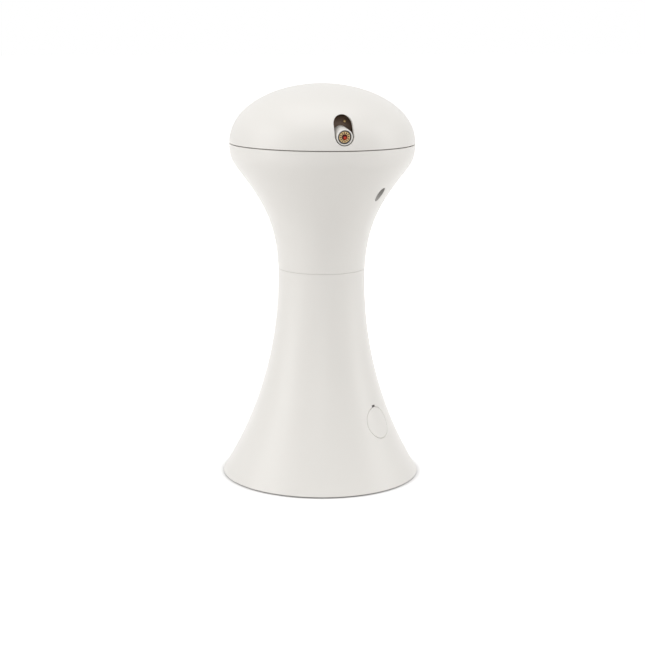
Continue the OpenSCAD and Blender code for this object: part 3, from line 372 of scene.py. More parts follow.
def spinRows(verts, profile, around):
    # one row of vertex numbers for each (r, z); a point on the axis is one vertex
    grid = []
    for r, z in profile:
        if r < tiny:
            grid.append(addRing(verts, [Vector((0, 0, z))]) * around)
        else:
            grid.append(addRing(verts, [spun(r, z, math.tau * j / around) for j in range(around)]))
    return grid


def closeRows(faces, grid, around, cut=()):
    # cut holds (rows, columns) cells that a hole takes
    for i in range(len(grid)):
        below, above = grid[i - 1], grid[i]
        for j in range(around):
            k = (j + 1) % around
            if ((i - 1) % len(grid), j) not in cut:
                addFace(faces, below[j], below[k], above[k], above[j])


def makePiece(name, verts, faces, slot, body, replaced, place=None):
    # verts are in millimetres, in the piece's own place where one is given
    mesh = bpy.data.meshes.new(name)
    mesh.from_pydata([(place @ v if place else v) * mm for v in verts], [], faces)
    mesh.validate()
    mesh.polygons.foreach_set("use_smooth", [True] * len(mesh.polygons))
    mesh.materials.append(finishes[slot])
    piece = bpy.data.objects.new(name, mesh)
    bpy.context.scene.collection.objects.link(piece)
    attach(piece, body)
    if replaced:
        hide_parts(*replaced)
    return piece


# holes: each is cut along its own axis n, through both skins of a shell

def holeFrame(az, r, z, tilt):
    # u level, v up the shell, n out of it; tilt is how far n points up
    u = Vector((math.cos(az), math.sin(az), 0))
    n = Vector((math.cos(tilt) * math.sin(az), -math.cos(tilt) * math.cos(az), math.sin(tilt)))
    return {"origin": spun(r, z, az), "u": u, "v": n.cross(u), "n": n}


def inFrame(hole, u, v, n):
    return hole["origin"] + hole["u"] * u + hole["v"] * v + hole["n"] * n


def planeOf(hole, point):
    d = point - hole["origin"]
    return d.dot(hole["u"]), d.dot(hole["v"])


def dropOn(hole, curve, u, v, start=0.0, step=0.01, tries=14):
    # how far along n the skin lies, by Newton's rule
    def miss(n):
        p = inFrame(hole, u, v, n)
        return radiusAt(curve, p.z) - math.hypot(p.x, p.y)
    n = start
    for _ in range(tries):
        here = miss(n)
        slope = (miss(n + step) - here) / step
        n -= here / slope
    return n


# an edge gives, for each angle round a hole, its point and which way it faces, and its corners' angles

def roundEdge(radius):
    def edge(phi):
        c, s = math.cos(phi), math.sin(phi)
        return (radius * c, radius * s), (c, s)
    return edge, []


def slotEdge(radius, half):
    # straight sides of twice the half, with round ends
    def edge(phi):
        c, s = math.cos(phi), math.sin(phi)
        if abs(radius * s) <= half * abs(c):
            side = math.copysign(1, c)
            return (side * radius, radius * s / abs(c)), (side, 0)
        reach = half * abs(s) + math.sqrt(radius ** 2 - (half * c) ** 2)
        x, y = reach * c, reach * s
        return (x, y), (x / radius, (y - math.copysign(half, s)) / radius)
    corner = math.atan2(half, radius)
    return edge, [corner, math.pi - corner, -corner, corner - math.pi]


def notchedEdge(radius, halfWidth, top):
    # a round edge with a square notch at its upper end
    outer = math.atan2(top, halfWidth)
    inner = math.atan2(math.sqrt(radius ** 2 - halfWidth ** 2), halfWidth)

    def edge(phi):
        c, s = math.cos(phi), math.sin(phi)
        lean = abs(math.atan2(c, s))
        if lean < quarterTurn - outer + tiny:
            return (top * c / s, top), (0, 1)
        if lean < quarterTurn - inner - tiny:
            side = math.copysign(1, c)
            return (side * halfWidth, halfWidth * s / abs(c)), (side, 0)
        return (radius * c, radius * s), (c, s)
    return edge, [outer, inner, math.pi - outer, math.pi - inner]


def snapTo(angles, keys):
    # the nearest angles move onto the corners of the hole, and keep their order
    free = set(range(len(angles)))
    chosen = []
    for key in keys:
        nearest = min(free, key=lambda i: abs(math.remainder(angles[i] - key, math.tau)))
        free.discard(nearest)
        chosen.append(nearest)
    for i, key in zip(sorted(chosen, key=lambda i: angles[i]), sorted(keys)):
        angles[i] = key


supportShare = 0.6  # flat kept beside a soft edge, in shares of its size
innerLead = 0.2  # width of the narrow flat round a hole on a shell's inside


def throughWall(hole, inner, start=0.0):
    # straight from the outer edge to the inner skin
    def chain(edges):
        return [[inFrame(hole, u, v, dropOn(hole, inner, u, v, start) + lift) for (u, v), _ in edges]
                for lift in (innerLead, 0.0)]
    return chain


def cutHole(verts, faces, grid, hole, rowsOut, rowsIn, columns, edge, keys, skins, chain,
            soft=0.25, start=0.0, rings=4, innerGrow=0.0):
    # replaces the cells between two rows and two columns by rings that close in on the hole;
    # chain gives the rings between the outer skin's edge and the inner skin
    low, high = rowsOut
    first, last = columns
    around = len(grid[0])
    walk = ([(low, j) for j in range(first, last)] + [(i, last) for i in range(low, high)]
            + [(high, j) for j in range(last, first, -1)] + [(i, first) for i in range(high, low, -1)])
    outerRing = [grid[i][j % around] for i, j in walk]
    innerRing = [grid[rowsIn(i)][j % around] for i, j in walk]
    flat = [planeOf(hole, verts[k]) for k in outerRing]
    angles = [math.atan2(v, u) for u, v in flat]
    snapTo(angles, keys)
    edges = [edge(a) for a in angles]

    def ringAt(grow, depth, curve):
        points = []
        for (p, normal) in edges:
            u, v = p[0] + grow * normal[0], p[1] + grow * normal[1]
            points.append(inFrame(hole, u, v, dropOn(hole, curve, u, v, start) - depth))
        return points

    def fan(ring, grow, curve):
        # from a shell's own cells to the hole's edge
        made = [ring]
        plane = [planeOf(hole, verts[k]) for k in ring]
        for step in range(1, rings + 1):
            share = step / rings
            points = []
            for (pu, pv), (p, normal) in zip(plane, edges):
                u = pu + (p[0] + grow * normal[0] - pu) * share
                v = pv + (p[1] + grow * normal[1] - pv) * share
                points.append(inFrame(hole, u, v, dropOn(hole, curve, u, v, start)))
            made.append(addRing(verts, points))
        return made

    support = soft * supportShare
    rows = fan(outerRing, soft + support, skins[0])
    rows += [addRing(verts, ringAt(grow, depth, skins[0])) for grow, depth in roundOver(soft)]
    rows += [addRing(verts, ring) for ring in chain(edges)]
    rows += fan(innerRing, innerGrow, skins[1])[::-1]
    for a, b in zip(rows, rows[1:]):
        bridge(faces, a, b)


def cellsOf(rows, columns, rowsIn, around):
    # the cells that a hole takes from the outside and from the inside of a shell
    taken = set()
    for i in range(*rows):
        for j in range(*columns):
            taken.add((i, j % around))
            taken.add((rowsIn(i + 1), j % around))
    return taken


def shellRows(outer, inner, low, high, pitch, softLow, softHigh):
    # closed profile of a shell between two heights: up the outside and down the inside;
    # the last result turns an outside row's number into that of the inside row beside it
    count = round((high - low) / pitch)
    heights = [low + softLow + (high - low - softLow - softHigh) * i / count for i in range(count + 1)]
    outside = [(radiusAt(outer, z), z) for z in heights]
    inside = [(radiusAt(inner, z), z) for z in reversed(heights)]
    top = [(radiusAt(outer, high), high), (radiusAt(inner, high), high)]
    foot = [(radiusAt(inner, low), low), (radiusAt(outer, low), low)]
    upper = (softCorner(outside[-1], top[0], top[1], softHigh)
             + softCorner(top[0], top[1], inside[0], softHigh))
    lower = (softCorner(inside[-1], foot[0], foot[1], softLow)
             + softCorner(foot[0], foot[1], outside[0], softLow))
    profile = outside + upper + inside + lower
    return profile, heights, lambda i: 2 * count + 1 + len(upper) - i


def rowNear(heights, z):
    return min(range(len(heights)), key=lambda i: abs(heights[i] - z))


# lower shell, with the opening for the button and its window

buttonPlace = {
    "azimuth": 42.0,
    "height": 29.4,
    "radius": 7.7,
    "gap": 0.12,
    "windowWidth": 2.6,
    "windowTop": 8.7,
    "margin": 10.6,  # from the button's middle to the mesh rows that stay whole
    "columns": 13,
    "edge": 0.3,
}


def frameOnStand(azimuth, height, slopeStep=1.0):
    # square to the stand's skin
    below, above = (radiusAt(standOuter, height + z) for z in (-slopeStep, slopeStep))
    tilt = math.atan2(below - above, 2 * slopeStep)
    return holeFrame(math.radians(azimuth), radiusAt(standOuter, height), height, tilt)


buttonFrame = frameOnStand(buttonPlace["azimuth"], buttonPlace["height"])

lowerShellLook = {"footEdge": 0.35, "seamEdge": 0.16}


def columnsRound(az, half, around):
    # first and last column of the cells beside an azimuth
    middle = round(math.radians(az) / math.tau * around)
    return middle - half, middle + half


def makeLowerShell():
    b = buttonPlace
    around = outline["around"]
    profile, heights, rowsIn = shellRows(standOuter, standInner, footLow.z, footHigh.z, outline["rowPitch"],
                                         lowerShellLook["footEdge"], lowerShellLook["seamEdge"])
    verts, faces = [], []
    grid = spinRows(verts, profile, around)
    rows = (rowNear(heights, b["height"] - b["margin"]), rowNear(heights, b["height"] + b["margin"]))
    columns = columnsRound(b["azimuth"], b["columns"], around)
    closeRows(faces, grid, around, cellsOf(rows, columns, rowsIn, around))
    edge, keys = notchedEdge(b["radius"] + b["gap"], b["windowWidth"] / 2, b["windowTop"])
    cutHole(verts, faces, grid, buttonFrame, rows, rowsIn, columns, edge, keys, (standOuter, standInner),
            throughWall(buttonFrame, standInner), soft=b["edge"], innerGrow=innerLead)
    makePiece("lowerShell", verts, faces, "shell", "stand", ["lower_shell"])


makeLowerShell()
print("lower shell made")


# upper shell, with the two screw wells under the head

wellLook = {
    "azimuths": (42.0, 222.0),
    "ring": 33.0,
    "radius": 2.3,
    "seat": 147.0,
    "seatEdge": 0.2,
    "screwHole": 1.55,
    "bossRadius": 3.7,
    "deck": 150.0,
    "rows": (133.5, 151.2),  # heights between which the mesh is cut for a well
    "columns": 8,  # and columns to either side of its middle
    "edge": 0.25,
}
upperShellLook = {"seamEdge": 0.2, "rimEdge": 0.12, "waistGap": 0.06, "pitchShare": 0.8}


def wellFrame(azimuth):
    # n points down, out of the well
    return holeFrame(math.radians(azimuth), wellLook["ring"], 0, -quarterTurn)


def makeUpperShell():
    s, w = upperShellLook, wellLook
    around = outline["around"]
    profile, heights, rowsIn = shellRows(standOuter, standInner, footHigh.z + s["waistGap"], headHigh.z,
                                         outline["rowPitch"] * s["pitchShare"], s["seamEdge"], s["rimEdge"])
    verts, faces = [], []
    grid = spinRows(verts, profile, around)
    rows = tuple(rowNear(heights, z) for z in w["rows"])
    taken = set()
    for azimuth in w["azimuths"]:
        taken |= cellsOf(rows, columnsRound(azimuth, w["columns"], around), rowsIn, around)
    closeRows(faces, grid, around, taken)
    for azimuth in w["azimuths"]:
        well = wellFrame(azimuth)
        edge, keys = roundEdge(w["radius"])

        def upTheWell(edges):
            soft = w["seatEdge"]
            steps = [(w["radius"], w["seat"] - soft), (w["radius"] - soft / 4, w["seat"] - soft / 4),
                     (w["radius"] - soft, w["seat"]), (w["screwHole"], w["seat"]),
                     (w["screwHole"], w["deck"]), (w["bossRadius"], w["deck"])]
            return [[inFrame(well, normal[0] * r, normal[1] * r, -z) for _, normal in edges]
                    for r, z in steps]
        cutHole(verts, faces, grid, well, rows, rowsIn, columnsRound(azimuth, w["columns"], around),
                edge, keys, (standOuter, standInner), upTheWell, soft=w["edge"],
                start=-outline["flareHeight"], innerGrow=w["bossRadius"] - w["radius"])
    makePiece("upperShell", verts, faces, "shell", "stand", ["upper_shell"])


makeUpperShell()
print("upper shell made")


# cap, with a slot in front and one behind

capLook = {
    "slotWidth": 9.0,
    "slotFoot": 169.0,  # middle of the round lower end
    "slotHead": 173.92,
    "steps": 72,
    "rows": (163.6, 180.6),
    "columns": 8,
    "rimEdge": 0.12,
    "slotEdge": 0.3,
    "slotReach": 40.0,  # about how far from the axis the slots lie
    "azimuths": (0, 180),
    "crownStart": 0.4,  # below the inside's top, where its own coarser rows take over
    "crownGap": 0.1,
    "crownHole": 1.0,
    "crownEvery": 12,
}


def makeCap():
    c = capLook
    around = outline["around"]
    outside = capCurve(c["steps"])
    heights = [p[1] for p in outside]
    top = capHigh.z - outline["wall"]
    inside = [(radiusAt(capInner, z), z) for z in heights if z < top - c["crownStart"]]
    crownFoot = inside[-1][1] + c["crownGap"]
    crown = [p for p in capInner if p[1] > crownFoot and p[0] > c["crownHole"]][::c["crownEvery"]]
    crown.append((0, top))
    rim = [(radiusAt(capOuter, capLow.z), capLow.z), (radiusAt(capInner, capLow.z), capLow.z)]
    lip = (softCorner(inside[1], rim[1], rim[0], c["rimEdge"])
           + softCorner(rim[1], rim[0], outside[1], c["rimEdge"]))
    profile = outside[1:] + crown[::-1] + inside[:0:-1] + lip
    innerStart = len(outside) - 1 + len(crown)

    def rowsIn(i):
        return innerStart + len(inside) - 2 - i
    verts, faces = [], []
    grid = spinRows(verts, profile, around)
    rows = tuple(rowNear(heights[1:], z) for z in c["rows"])
    middle = (c["slotFoot"] + c["slotHead"]) / 2
    half = (c["slotHead"] - c["slotFoot"]) / 2
    taken = set()
    for azimuth in c["azimuths"]:
        taken |= cellsOf(rows, columnsRound(azimuth, c["columns"], around), rowsIn, around)
    closeRows(faces, grid, around, taken)
    for azimuth in c["azimuths"]:
        place = holeFrame(math.radians(azimuth), 0, middle, 0)
        edge, keys = slotEdge(c["slotWidth"] / 2, half)
        cutHole(verts, faces, grid, place, rows, rowsIn, columnsRound(azimuth, c["columns"], around),
                edge, keys, (capOuter, capInner),
                throughWall(place, capInner, c["slotReach"] - outline["wall"]),
                soft=c["slotEdge"], start=c["slotReach"], innerGrow=innerLead)
    makePiece("capDome", verts, faces, "shell", "head", ["cap_dome"])


makeCap()
print("cap made")


# button: its face is the shell's own surface, with a soft edge, a skirt, a flange and a stem

buttonLook = {
    "around": 128,
    "faceRings": 14,
    "edge": 0.3,
    "faceMargin": 0.48,  # flat kept inside the soft edge
    "thickness": 1.8,
    "sideShare": 0.6,  # of the thickness, where the side starts to lean in to the skirt
    "flangeRadius": 9.0,
    "flangeTop": 3.8,
    "flangeLow": 4.8,
    "stemRadius": 2.0,
    "stemLow": 6.8,
    "skirtPlay": 0.05,
}


def makeButton():
    b = buttonLook
    radius = buttonPlace["radius"]
    verts, faces = [], []

    def ringOf(r, depth, onFace=True):
        points = []
        for j in range(b["around"]):
            phi = math.tau * j / b["around"]
            u, v = r * math.cos(phi), r * math.sin(phi)
            n = dropOn(buttonFrame, standOuter, u, v) if onFace else 0
            points.append(inFrame(buttonFrame, u, v, n - depth))
        return addRing(verts, points)

    def middle(depth):
        return addRing(verts, [inFrame(buttonFrame, 0, 0, -depth)]) * b["around"]
    rows = [middle(0)]
    flat = radius - b["faceMargin"]
    rows += [ringOf(flat * i / b["faceRings"], 0) for i in range(1, b["faceRings"] + 1)]
    rows += [ringOf(radius - inset, depth) for inset, depth in roundOver(b["edge"])]
    skirt = radius - b["skirtPlay"]
    under = radius - b["thickness"]
    rows.append(ringOf(radius, b["thickness"] * b["sideShare"]))
    rows += [ringOf(r, depth, False) for r, depth in (
        (skirt, b["flangeTop"]), (b["flangeRadius"], b["flangeTop"]), (b["flangeRadius"], b["flangeLow"]),
        (under, b["flangeLow"]))]
    rows += [ringOf(under, b["thickness"]), ringOf(b["stemRadius"], b["thickness"]),
             ringOf(b["stemRadius"], b["stemLow"], False), middle(b["stemLow"])]
    for upper, lower in zip(rows, rows[1:]):
        bridge(faces, lower, upper)
    makePiece("powerButton", verts, faces, "shell", "button", ["power_button"])


makeButton()

springLook = {
    "radius": 5.0,
    "wire": 0.3,
    "turns": 5.5,
    "flatTurns": 0.75,  # at each end
    "foot": 11.45,  # depths below the button's skin
    "top": 2.35,
    "perTurn": 40,
    "sides": 10,
    "travel": 0.8,  # the button's stroke
}


def makeButtonSpring():
    # a coil with flat ends
    c = springLook
    length = c["foot"] - c["top"] - 2 * c["wire"]
    verts, faces, rings = [], [], []
    for i in range(round(c["turns"] * c["perTurn"]) + 1):
        turn = i / c["perTurn"]
        rise = min(max((turn - c["flatTurns"]) / (c["turns"] - 2 * c["flatTurns"]), 0), 1)
        middle = -c["foot"] + c["wire"] + length * rise
        points = []
        for j in range(c["sides"]):
            side = math.tau * j / c["sides"]
            r = c["radius"] + c["wire"] * math.cos(side)
            points.append(inFrame(buttonFrame, r * math.cos(math.tau * turn), r * math.sin(math.tau * turn),
                                  middle + c["wire"] * math.sin(side)))
        rings.append(addRing(verts, points))
    for a, b in zip(rings, rings[1:]):
        bridge(faces, b, a)
    faces += [rings[0][::-1], rings[-1]]
    piece = makePiece("buttonSpring", verts, faces, "spring_steel", "stand", ["button_spring"])
    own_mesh(piece)


makeButtonSpring()
print("button made")


# light barrels with their brass modules and lenses, in each barrel's own frame

barrelLook = {
    "pivotRadius": 24.0,
    "pivotHeight": 170.6,
    "tilt": 6.0,
    "radius": 3.75,
    "bore": 3.2,
    "front": 19.7,
    "back": 5.0,
    "mouthEdge": 0.28,
    "boreEdge": 0.12,
    "backEdge": 0.25,
    "pinRadius": 1.5,
    "pinReach": 6.15,
    "pinEdge": 0.3,
    "pinBevel": 0.3,  # share of the edge that its middle ring stands back
    "pinAround": 32,
    "around": 96,
}
moduleLook = {
    "radius": 3.0,
    "length": 12.0,
    "recess": 0.5,
    "rebate": 0.48,  # step round the face that a black sleeve fills
    "rebateDepth": 0.6,
    "aperture": 1.35,
    "face": 1.0,
    "lensRadius": 2.4,
    "lensDepth": 0.9,
    "ticks": 12,  # milled into the face
    "tickOuter": 2.25,
    "tickInner": 1.5,
    "tickDepth": 0.3,
    "tickShare": 0.5,
    "tickSteps": 12,  # columns of the mesh to a tick and its gap
    "tickSide": 0.05,
    "backEdge": 0.2,
    "faceEdge": 0.08,
    "apertureEdge": 0.12,
    "innerEdge": 0.05,
}
sleeveLook = {
    "play": 0.02,
    "sink": 0.05,
    "lowEdge": 0.03,
    "outerEdge": 0.1,
    "innerEdge": 0.08,
}
lensLook = {
    "lift": 0.05,  # off the floor of the module's pocket
    "play": 0.05,
    "rim": 0.5,
    "dome": 0.3,
    "domeSteps": 10,
    "around": 64,
}


def barrelFrame(azimuth):
    # z along the barrel, out of its mouth, from the middle of its pins
    b = barrelLook
    place = Matrix.Translation(spun(b["pivotRadius"], b["pivotHeight"], math.radians(azimuth)))
    return place @ Matrix.Rotation(math.radians(azimuth), 4, "Z") @ Matrix.Rotation(
        math.radians(90 + b["tilt"]), 4, "X")


def addPin(verts, faces, side):
    b = barrelLook
    inner = (b["radius"] + b["bore"]) / 2
    outer = b["pinReach"]
    soft = b["pinEdge"]
    back = soft * b["pinBevel"]
    steps = [(b["pinRadius"], inner), (b["pinRadius"], outer - soft),
             (b["pinRadius"] - back, outer - back), (b["pinRadius"] - soft, outer)]
    turns = [math.tau * j / b["pinAround"] for j in range(b["pinAround"])]
    rings = [addRing(verts, [Vector((side * x, r * math.cos(a), r * math.sin(a))) for a in turns])
             for r, x in steps]
    ends = [addRing(verts, [Vector((side * x, 0, 0))]) * b["pinAround"] for x in (inner, outer)]
    rings = [ends[0]] + rings + [ends[1]]
    for near, far in zip(rings, rings[1:]):
        bridge(faces, *((near, far) if side > 0 else (far, near)))


def makeBarrel(name, azimuth):
    b = barrelLook
    verts, faces = [], []
    profile = softProfile([
        (b["radius"], -b["back"], b["backEdge"]), (b["radius"], b["front"], b["mouthEdge"]),
        (b["bore"], b["front"], b["boreEdge"]), (b["bore"], -b["back"], b["boreEdge"])])
    closeRows(faces, spinRows(verts, profile, b["around"]), b["around"])
    addPin(verts, faces, 1)
    addPin(verts, faces, -1)
    makePiece("laserBarrel" + name.title(), verts, faces, "barrel", "laser_" + name,
              ["laser_barrel_" + name], barrelFrame(azimuth))


def makeModule(name, azimuth):
    b, m = barrelLook, moduleLook
    top = b["front"] - m["recess"]
    back = top - m["length"]
    step = m["radius"] - m["rebate"]
    shoulder = top - m["rebateDepth"]
    seat = top - m["face"]
    pocket = seat - m["lensDepth"]
    fine = m["innerEdge"]
    verts, faces = [], []
    profile = softProfile([
        (0, back, 0), (m["radius"], back, m["backEdge"]), (m["radius"], shoulder, fine),
        (step, shoulder, fine), (step, top, m["faceEdge"]),
        (m["tickOuter"], top, 0), (m["tickOuter"] - m["tickSide"], top, 0),
        (m["tickInner"] + m["tickSide"], top, 0), (m["tickInner"], top, 0),
        (m["aperture"], top, m["apertureEdge"]), (m["aperture"], seat, fine),
        (m["lensRadius"], seat, fine), (m["lensRadius"], pocket, fine), (0, pocket, 0)], steps=3)
    around = m["ticks"] * m["tickSteps"]
    grid = spinRows(verts, profile, around)
    milled = set()
    cut = m["tickSteps"] * m["tickShare"]
    for row, (r, z) in zip(grid, profile):
        if m["tickInner"] < r < m["tickOuter"] and z == top:
            milled |= {k for j, k in enumerate(row) if j % m["tickSteps"] < cut}
    for k in milled:
        verts[k].z -= m["tickDepth"]
    closeRows(faces, grid, around)
    piece = makePiece("laserModule" + name.title(), verts, faces, "module_brass", "laser_" + name,
                      ["laser_module_" + name], barrelFrame(azimuth))
    # the ticks' floors take the near-black finish, painted shade in the milled recesses
    piece.data.materials.append(finishes["painted_tick_shade"])
    for face in piece.data.polygons:
        if milled.intersection(face.vertices):
            face.material_index = 1


def makeSleeve(name, azimuth):
    # the black ring between the brass and the barrel's bore; its black is painted shade for the gap there
    b, m, s = barrelLook, moduleLook, sleeveLook
    face = b["front"] - m["recess"]
    inner, outer = m["radius"] - m["rebate"] + s["play"], b["bore"] - s["play"]
    low, high = face - m["rebateDepth"] + s["play"], face - s["sink"]
    verts, faces = [], []
    profile = softProfile([(inner, low, s["lowEdge"]), (outer, low, s["lowEdge"]),
                           (outer, high, s["outerEdge"]), (inner, high, s["innerEdge"])])
    closeRows(faces, spinRows(verts, profile, b["around"]), b["around"])
    makePiece("laserSleeve" + name.title(), verts, faces, "switch_black", "laser_" + name, [],
              barrelFrame(azimuth))


def makeLens(name, azimuth):
    b, m, c = barrelLook, moduleLook, lensLook
    seat = b["front"] - m["recess"] - m["face"] - m["lensDepth"] + c["lift"]
    r = m["lensRadius"] - c["play"]
    dome = [(r * math.sin(a), seat + c["rim"] + c["dome"] * math.cos(a))
            for a in quarterArc(c["domeSteps"])[::-1]]
    verts, faces = [], []
    closeRows(faces, spinRows(verts, [(0, seat), (r, seat)] + dome, c["around"]), c["around"])
    makePiece("laserLens" + name.title(), verts, faces, "lens", "laser_" + name, ["laser_lens_" + name],
              barrelFrame(azimuth))


pinLook = {
    "turn": 30.0,  # up from the barrel's axis
    "side": 2.3,
    "radius": 0.68,
    "low": 10.9,  # heights from the barrel's pivot
    "shoulder": 11.35,
    "top": 11.65,
    "domeSteps": 8,
    "around": 32,
}


def makeVisorPin(name, azimuth):
    # a brass pin beside the CAD visor's own small stud
    p = pinLook
    dome = [(p["radius"] * math.cos(a), p["shoulder"] + (p["top"] - p["shoulder"]) * math.sin(a))
            for a in quarterArc(p["domeSteps"])]
    profile = [(0, p["low"]), (p["radius"], p["low"])] + dome
    verts, faces = [], []
    closeRows(faces, spinRows(verts, profile, p["around"]), p["around"])
    place = (barrelFrame(azimuth) @ Matrix.Rotation(math.radians(-p["turn"]), 4, "X")
             @ Matrix.Translation((p["side"], 0, 0)))
    makePiece("visorPin" + name.title(), verts, faces, "module_brass", "laser_" + name, [], place)


for name, azimuth in (("front", 0), ("rear", 180)):
    makeVisorPin(name, azimuth)
    makeBarrel(name, azimuth)
    makeModule(name, azimuth)
    makeSleeve(name, azimuth)
    makeLens(name, azimuth)
print("barrels made")


# glide ring in the seam under the cap, and a liner in each screw well, both dark as painted shade in a gap

seamLook = {"outer": 43.3, "inner": 42.4, "clear": 0.03, "edge": 0.1}
linerLook = {"outer": 2.27, "inner": 2.0, "top": 146.9, "inset": 0.35, "around": 64}


def makeGlideRing():
    # the ring's dark brown is painted shade in the seam under the cap
    g = seamLook
    low, high = headHigh.z + g["clear"], capLow.z - g["clear"]
    verts, faces = [], []
    profile = softProfile([(g["inner"], low, 0), (g["outer"], low, g["edge"]), (g["outer"], high, g["edge"]),
                           (g["inner"], high, 0)])
    closeRows(faces, spinRows(verts, profile, outline["around"]), outline["around"])
    makePiece("glideRing", verts, faces, "turntable", "head", [])


def makeWellLiners():
    # the liners' grey is painted shade in the wells, and the record's slot for them is the black one
    g = linerLook
    verts, faces = [], []
    for azimuth in wellLook["azimuths"]:
        well = wellFrame(azimuth)
        turns = [math.tau * j / g["around"] for j in range(g["around"])]

        def ringAt(r, height=None):
            # at a height, or else just inside the shell's skin
            points = []
            for a in turns:
                u, v = r * math.cos(a), r * math.sin(a)
                skin = dropOn(well, standOuter, u, v, -outline["flareHeight"])
                points.append(inFrame(well, u, v, skin - g["inset"] if height is None else -height))
            return addRing(verts, points)
        rows = [ringAt(g["outer"]), ringAt(g["outer"], g["top"]),
                ringAt(g["inner"], g["top"]), ringAt(g["inner"])]
        for a, b in zip(rows, rows[1:] + rows[:1]):
            bridge(faces, a, b)
    piece = makePiece("wellLiners", verts, faces, "switch_black", "stand", [])
    piece.data.materials[0] = finishes["well_shade"]


makeGlideRing()
makeWellLiners()
print("glide ring and liners made")


# rubber feet

footLook = {
    "radius": 4.0,
    "height": 1.8,
    "edge": 0.5,
    "topEdge": 0.1,
    "dimple": 0.12,
    "dimpleRadius": 1.6,
    "dimpleSlope": 0.5,
    "dimpleEdge": 0.2,
    "around": 48,
}


def makeFeet():
    f = footLook
    high = boxInMm("rubber_feet")[1]
    across, along = high.x - f["radius"], high.y - f["radius"]
    verts, faces = [], []
    profile = softProfile([(0, f["dimple"], 0), (f["dimpleRadius"], f["dimple"], f["dimpleEdge"]),
                           (f["dimpleRadius"] + f["dimpleSlope"], 0, f["dimpleEdge"]),
                           (f["radius"], 0, f["edge"]), (f["radius"], f["height"], f["topEdge"]),
                           (0, f["height"], 0)])
    for x in (across, -across):
        for y in (along, -along):
            first = len(verts)
            grid = spinRows(verts, profile, f["around"])
            for k in range(first, len(verts)):
                verts[k] = verts[k] + Vector((x, y, 0))
            closeRows(faces, grid, f["around"])
    makePiece("rubberFeet", verts, faces, "foot_rubber", "stand", ["rubber_feet"])


makeFeet()
print("feet made")


# camera, floor and light

cameraLook = {
    "place": (-0.1735, -0.7228, 0.22795),  # metres
    "azimuth": 13.5,  # degrees, as are the next two
    "down": 11.66,
    "roll": 0.361,
    "sensor": 36,
    "lens": 86.5,
    "shift": 0.00196,
}


def makeCamera():
    c = cameraLook
    az, down, roll = (math.radians(c[k]) for k in ("azimuth", "down", "roll"))
    forward = Vector((math.sin(az) * math.cos(down), math.cos(az) * math.cos(down), -math.sin(down)))
    level = Vector((math.cos(az), -math.sin(az), 0))
    up = level.cross(forward)
    right = level * math.cos(roll) + up * math.sin(roll)
    top = up * math.cos(roll) - level * math.sin(roll)
    turn = Matrix((right, top, -forward)).transposed().to_4x4()
    data = bpy.data.cameras.new("camera")
    data.sensor_width = c["sensor"]
    data.lens = c["lens"]
    data.shift_x = c["shift"]
    camera = bpy.data.objects.new("camera", data)
    camera.matrix_world = Matrix.Translation(c["place"]) @ turn
    bpy.context.scene.collection.objects.link(camera)
    bpy.context.scene.camera = camera


makeCamera()

lampAim = (0, 0, 0.095)
lamps = {
    # azimuth counts from the camera's own side, in degrees; lengths are in metres and power in watts
    "panelLeft": {
        "azimuth": -72, "elevation": 16, "distance": 1.1, "width": 0.7, "height": 1.2, "power": 4.6},
    "panelRight": {
        "azimuth": 87, "elevation": 16, "distance": 1.1, "width": 0.52, "height": 1.2, "power": 3.5},
    "overhead": {
        "azimuth": 0, "elevation": 82, "distance": 1.2, "width": 1.2, "height": 1.2, "power": 6.1},
    "panelFront": {
        "azimuth": 0, "elevation": 10, "distance": 1.6, "width": 0.8, "height": 0.8, "power": 2.3},
}


def makeLamps():
    for name, setting in lamps.items():
        az = math.radians(setting["azimuth"] - cameraLook["azimuth"])
        el = math.radians(setting["elevation"])
        away = Vector((math.sin(az) * math.cos(el), -math.cos(az) * math.cos(el), math.sin(el)))
        data = bpy.data.lights.new(name, "AREA")
        data.shape = "RECTANGLE"
        data.size = setting["width"]
        data.size_y = setting["height"]
        data.energy = setting["power"]
        lamp = bpy.data.objects.new(name, data)
        lamp.location = Vector(lampAim) + away * setting["distance"]
        lamp.rotation_euler = away.to_track_quat("Z", "Y").to_euler()
        bpy.context.scene.collection.objects.link(lamp)


makeLamps()

studio = {
    "floorColor": (0.82, 0.815, 0.81),
    # (metres from the axis, white shown to the eye)
    "floorGlow": ((0.0478, 0.0), (0.0487, 0.4), (0.25, 0.8)),
    "worldLight": 0.48,
    "floorHalf": 6.0,
}


def mathNode(tree, operation, first, second):
    node = tree.nodes.new("ShaderNodeMath")
    node.operation = operation
    tree.links.new(first, node.inputs[0])
    tree.links.new(second, node.inputs[1])
    return node.outputs["Value"]


def seenDirectly(tree):
    # 1 for camera, mirror and glass rays, which see the white studio
    rays = tree.nodes.new("ShaderNodeLightPath").outputs
    straight = mathNode(tree, "MAXIMUM", rays["Is Camera Ray"], rays["Is Glossy Ray"])
    return mathNode(tree, "MAXIMUM", straight, rays["Is Transmission Ray"])


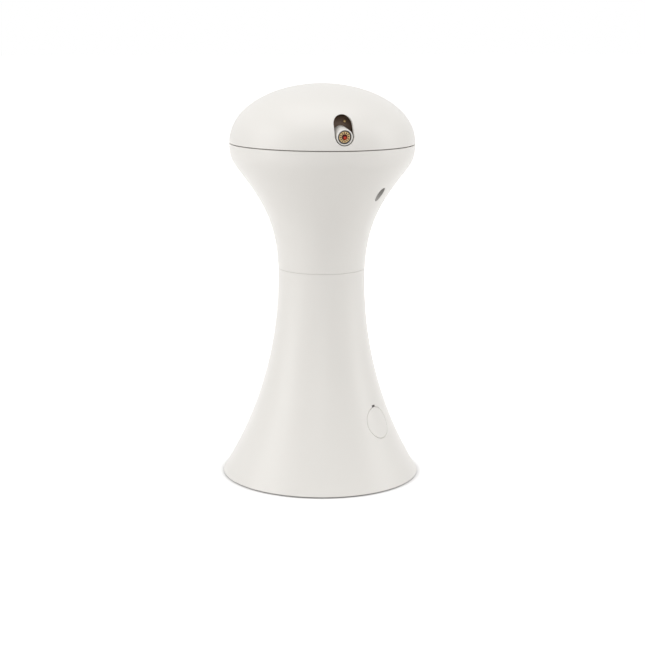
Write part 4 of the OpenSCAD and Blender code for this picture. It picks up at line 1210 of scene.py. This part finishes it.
def makeWorld():
    world = bpy.data.worlds.new("studio")
    world.use_nodes = True
    bpy.context.scene.world = world
    tree = world.node_tree
    background = tree.nodes["Background"]
    background.inputs["Color"].default_value = (1, 1, 1, 1)
    level = tree.nodes.new("ShaderNodeMapRange")
    level.inputs["To Min"].default_value = studio["worldLight"]
    level.inputs["To Max"].default_value = 1.0
    tree.links.new(seenDirectly(tree), level.inputs["Value"])
    tree.links.new(level.outputs["Result"], background.inputs["Strength"])


def floorPaint():
    # matte, with a glow that stops at the foot's rim and takes the floor to white further out
    paint = bpy.data.materials.new("floorPaint")
    paint.use_nodes = True
    tree = paint.node_tree
    tree.nodes.remove(tree.nodes["Principled BSDF"])
    matte = tree.nodes.new("ShaderNodeBsdfDiffuse")
    matte.inputs["Color"].default_value = (*studio["floorColor"], 1)
    glow = tree.nodes.new("ShaderNodeEmission")
    place = tree.nodes.new("ShaderNodeTexCoord")
    reach = tree.nodes.new("ShaderNodeVectorMath")
    reach.operation = "LENGTH"
    rise = tree.nodes.new("ShaderNodeValToRGB")
    while len(rise.color_ramp.elements) < len(studio["floorGlow"]):
        rise.color_ramp.elements.new(0.5)
    for stop, (at, white) in zip(rise.color_ramp.elements, studio["floorGlow"]):
        stop.position = at
        stop.color = (white, white, white, 1)
    both = tree.nodes.new("ShaderNodeAddShader")
    tree.links.new(place.outputs["Object"], reach.inputs[0])
    tree.links.new(reach.outputs["Value"], rise.inputs["Fac"])
    strength = mathNode(tree, "MULTIPLY", seenDirectly(tree), rise.outputs["Color"])
    tree.links.new(strength, glow.inputs["Strength"])
    tree.links.new(matte.outputs["BSDF"], both.inputs[0])
    tree.links.new(glow.outputs["Emission"], both.inputs[1])
    tree.links.new(both.outputs["Shader"], tree.nodes["Material Output"].inputs["Surface"])
    return paint


def makeFloor():
    half = studio["floorHalf"]
    mesh = bpy.data.meshes.new("floor")
    mesh.from_pydata([(-half, -half, 0), (half, -half, 0), (half, half, 0), (-half, half, 0)], [],
                     [(0, 1, 2, 3)])
    mesh.materials.append(floorPaint())
    floor = bpy.data.objects.new("floor", mesh)
    bpy.context.scene.collection.objects.link(floor)


makeWorld()
makeFloor()
bpy.context.scene.view_settings.view_transform = "Standard"
print("studio made")
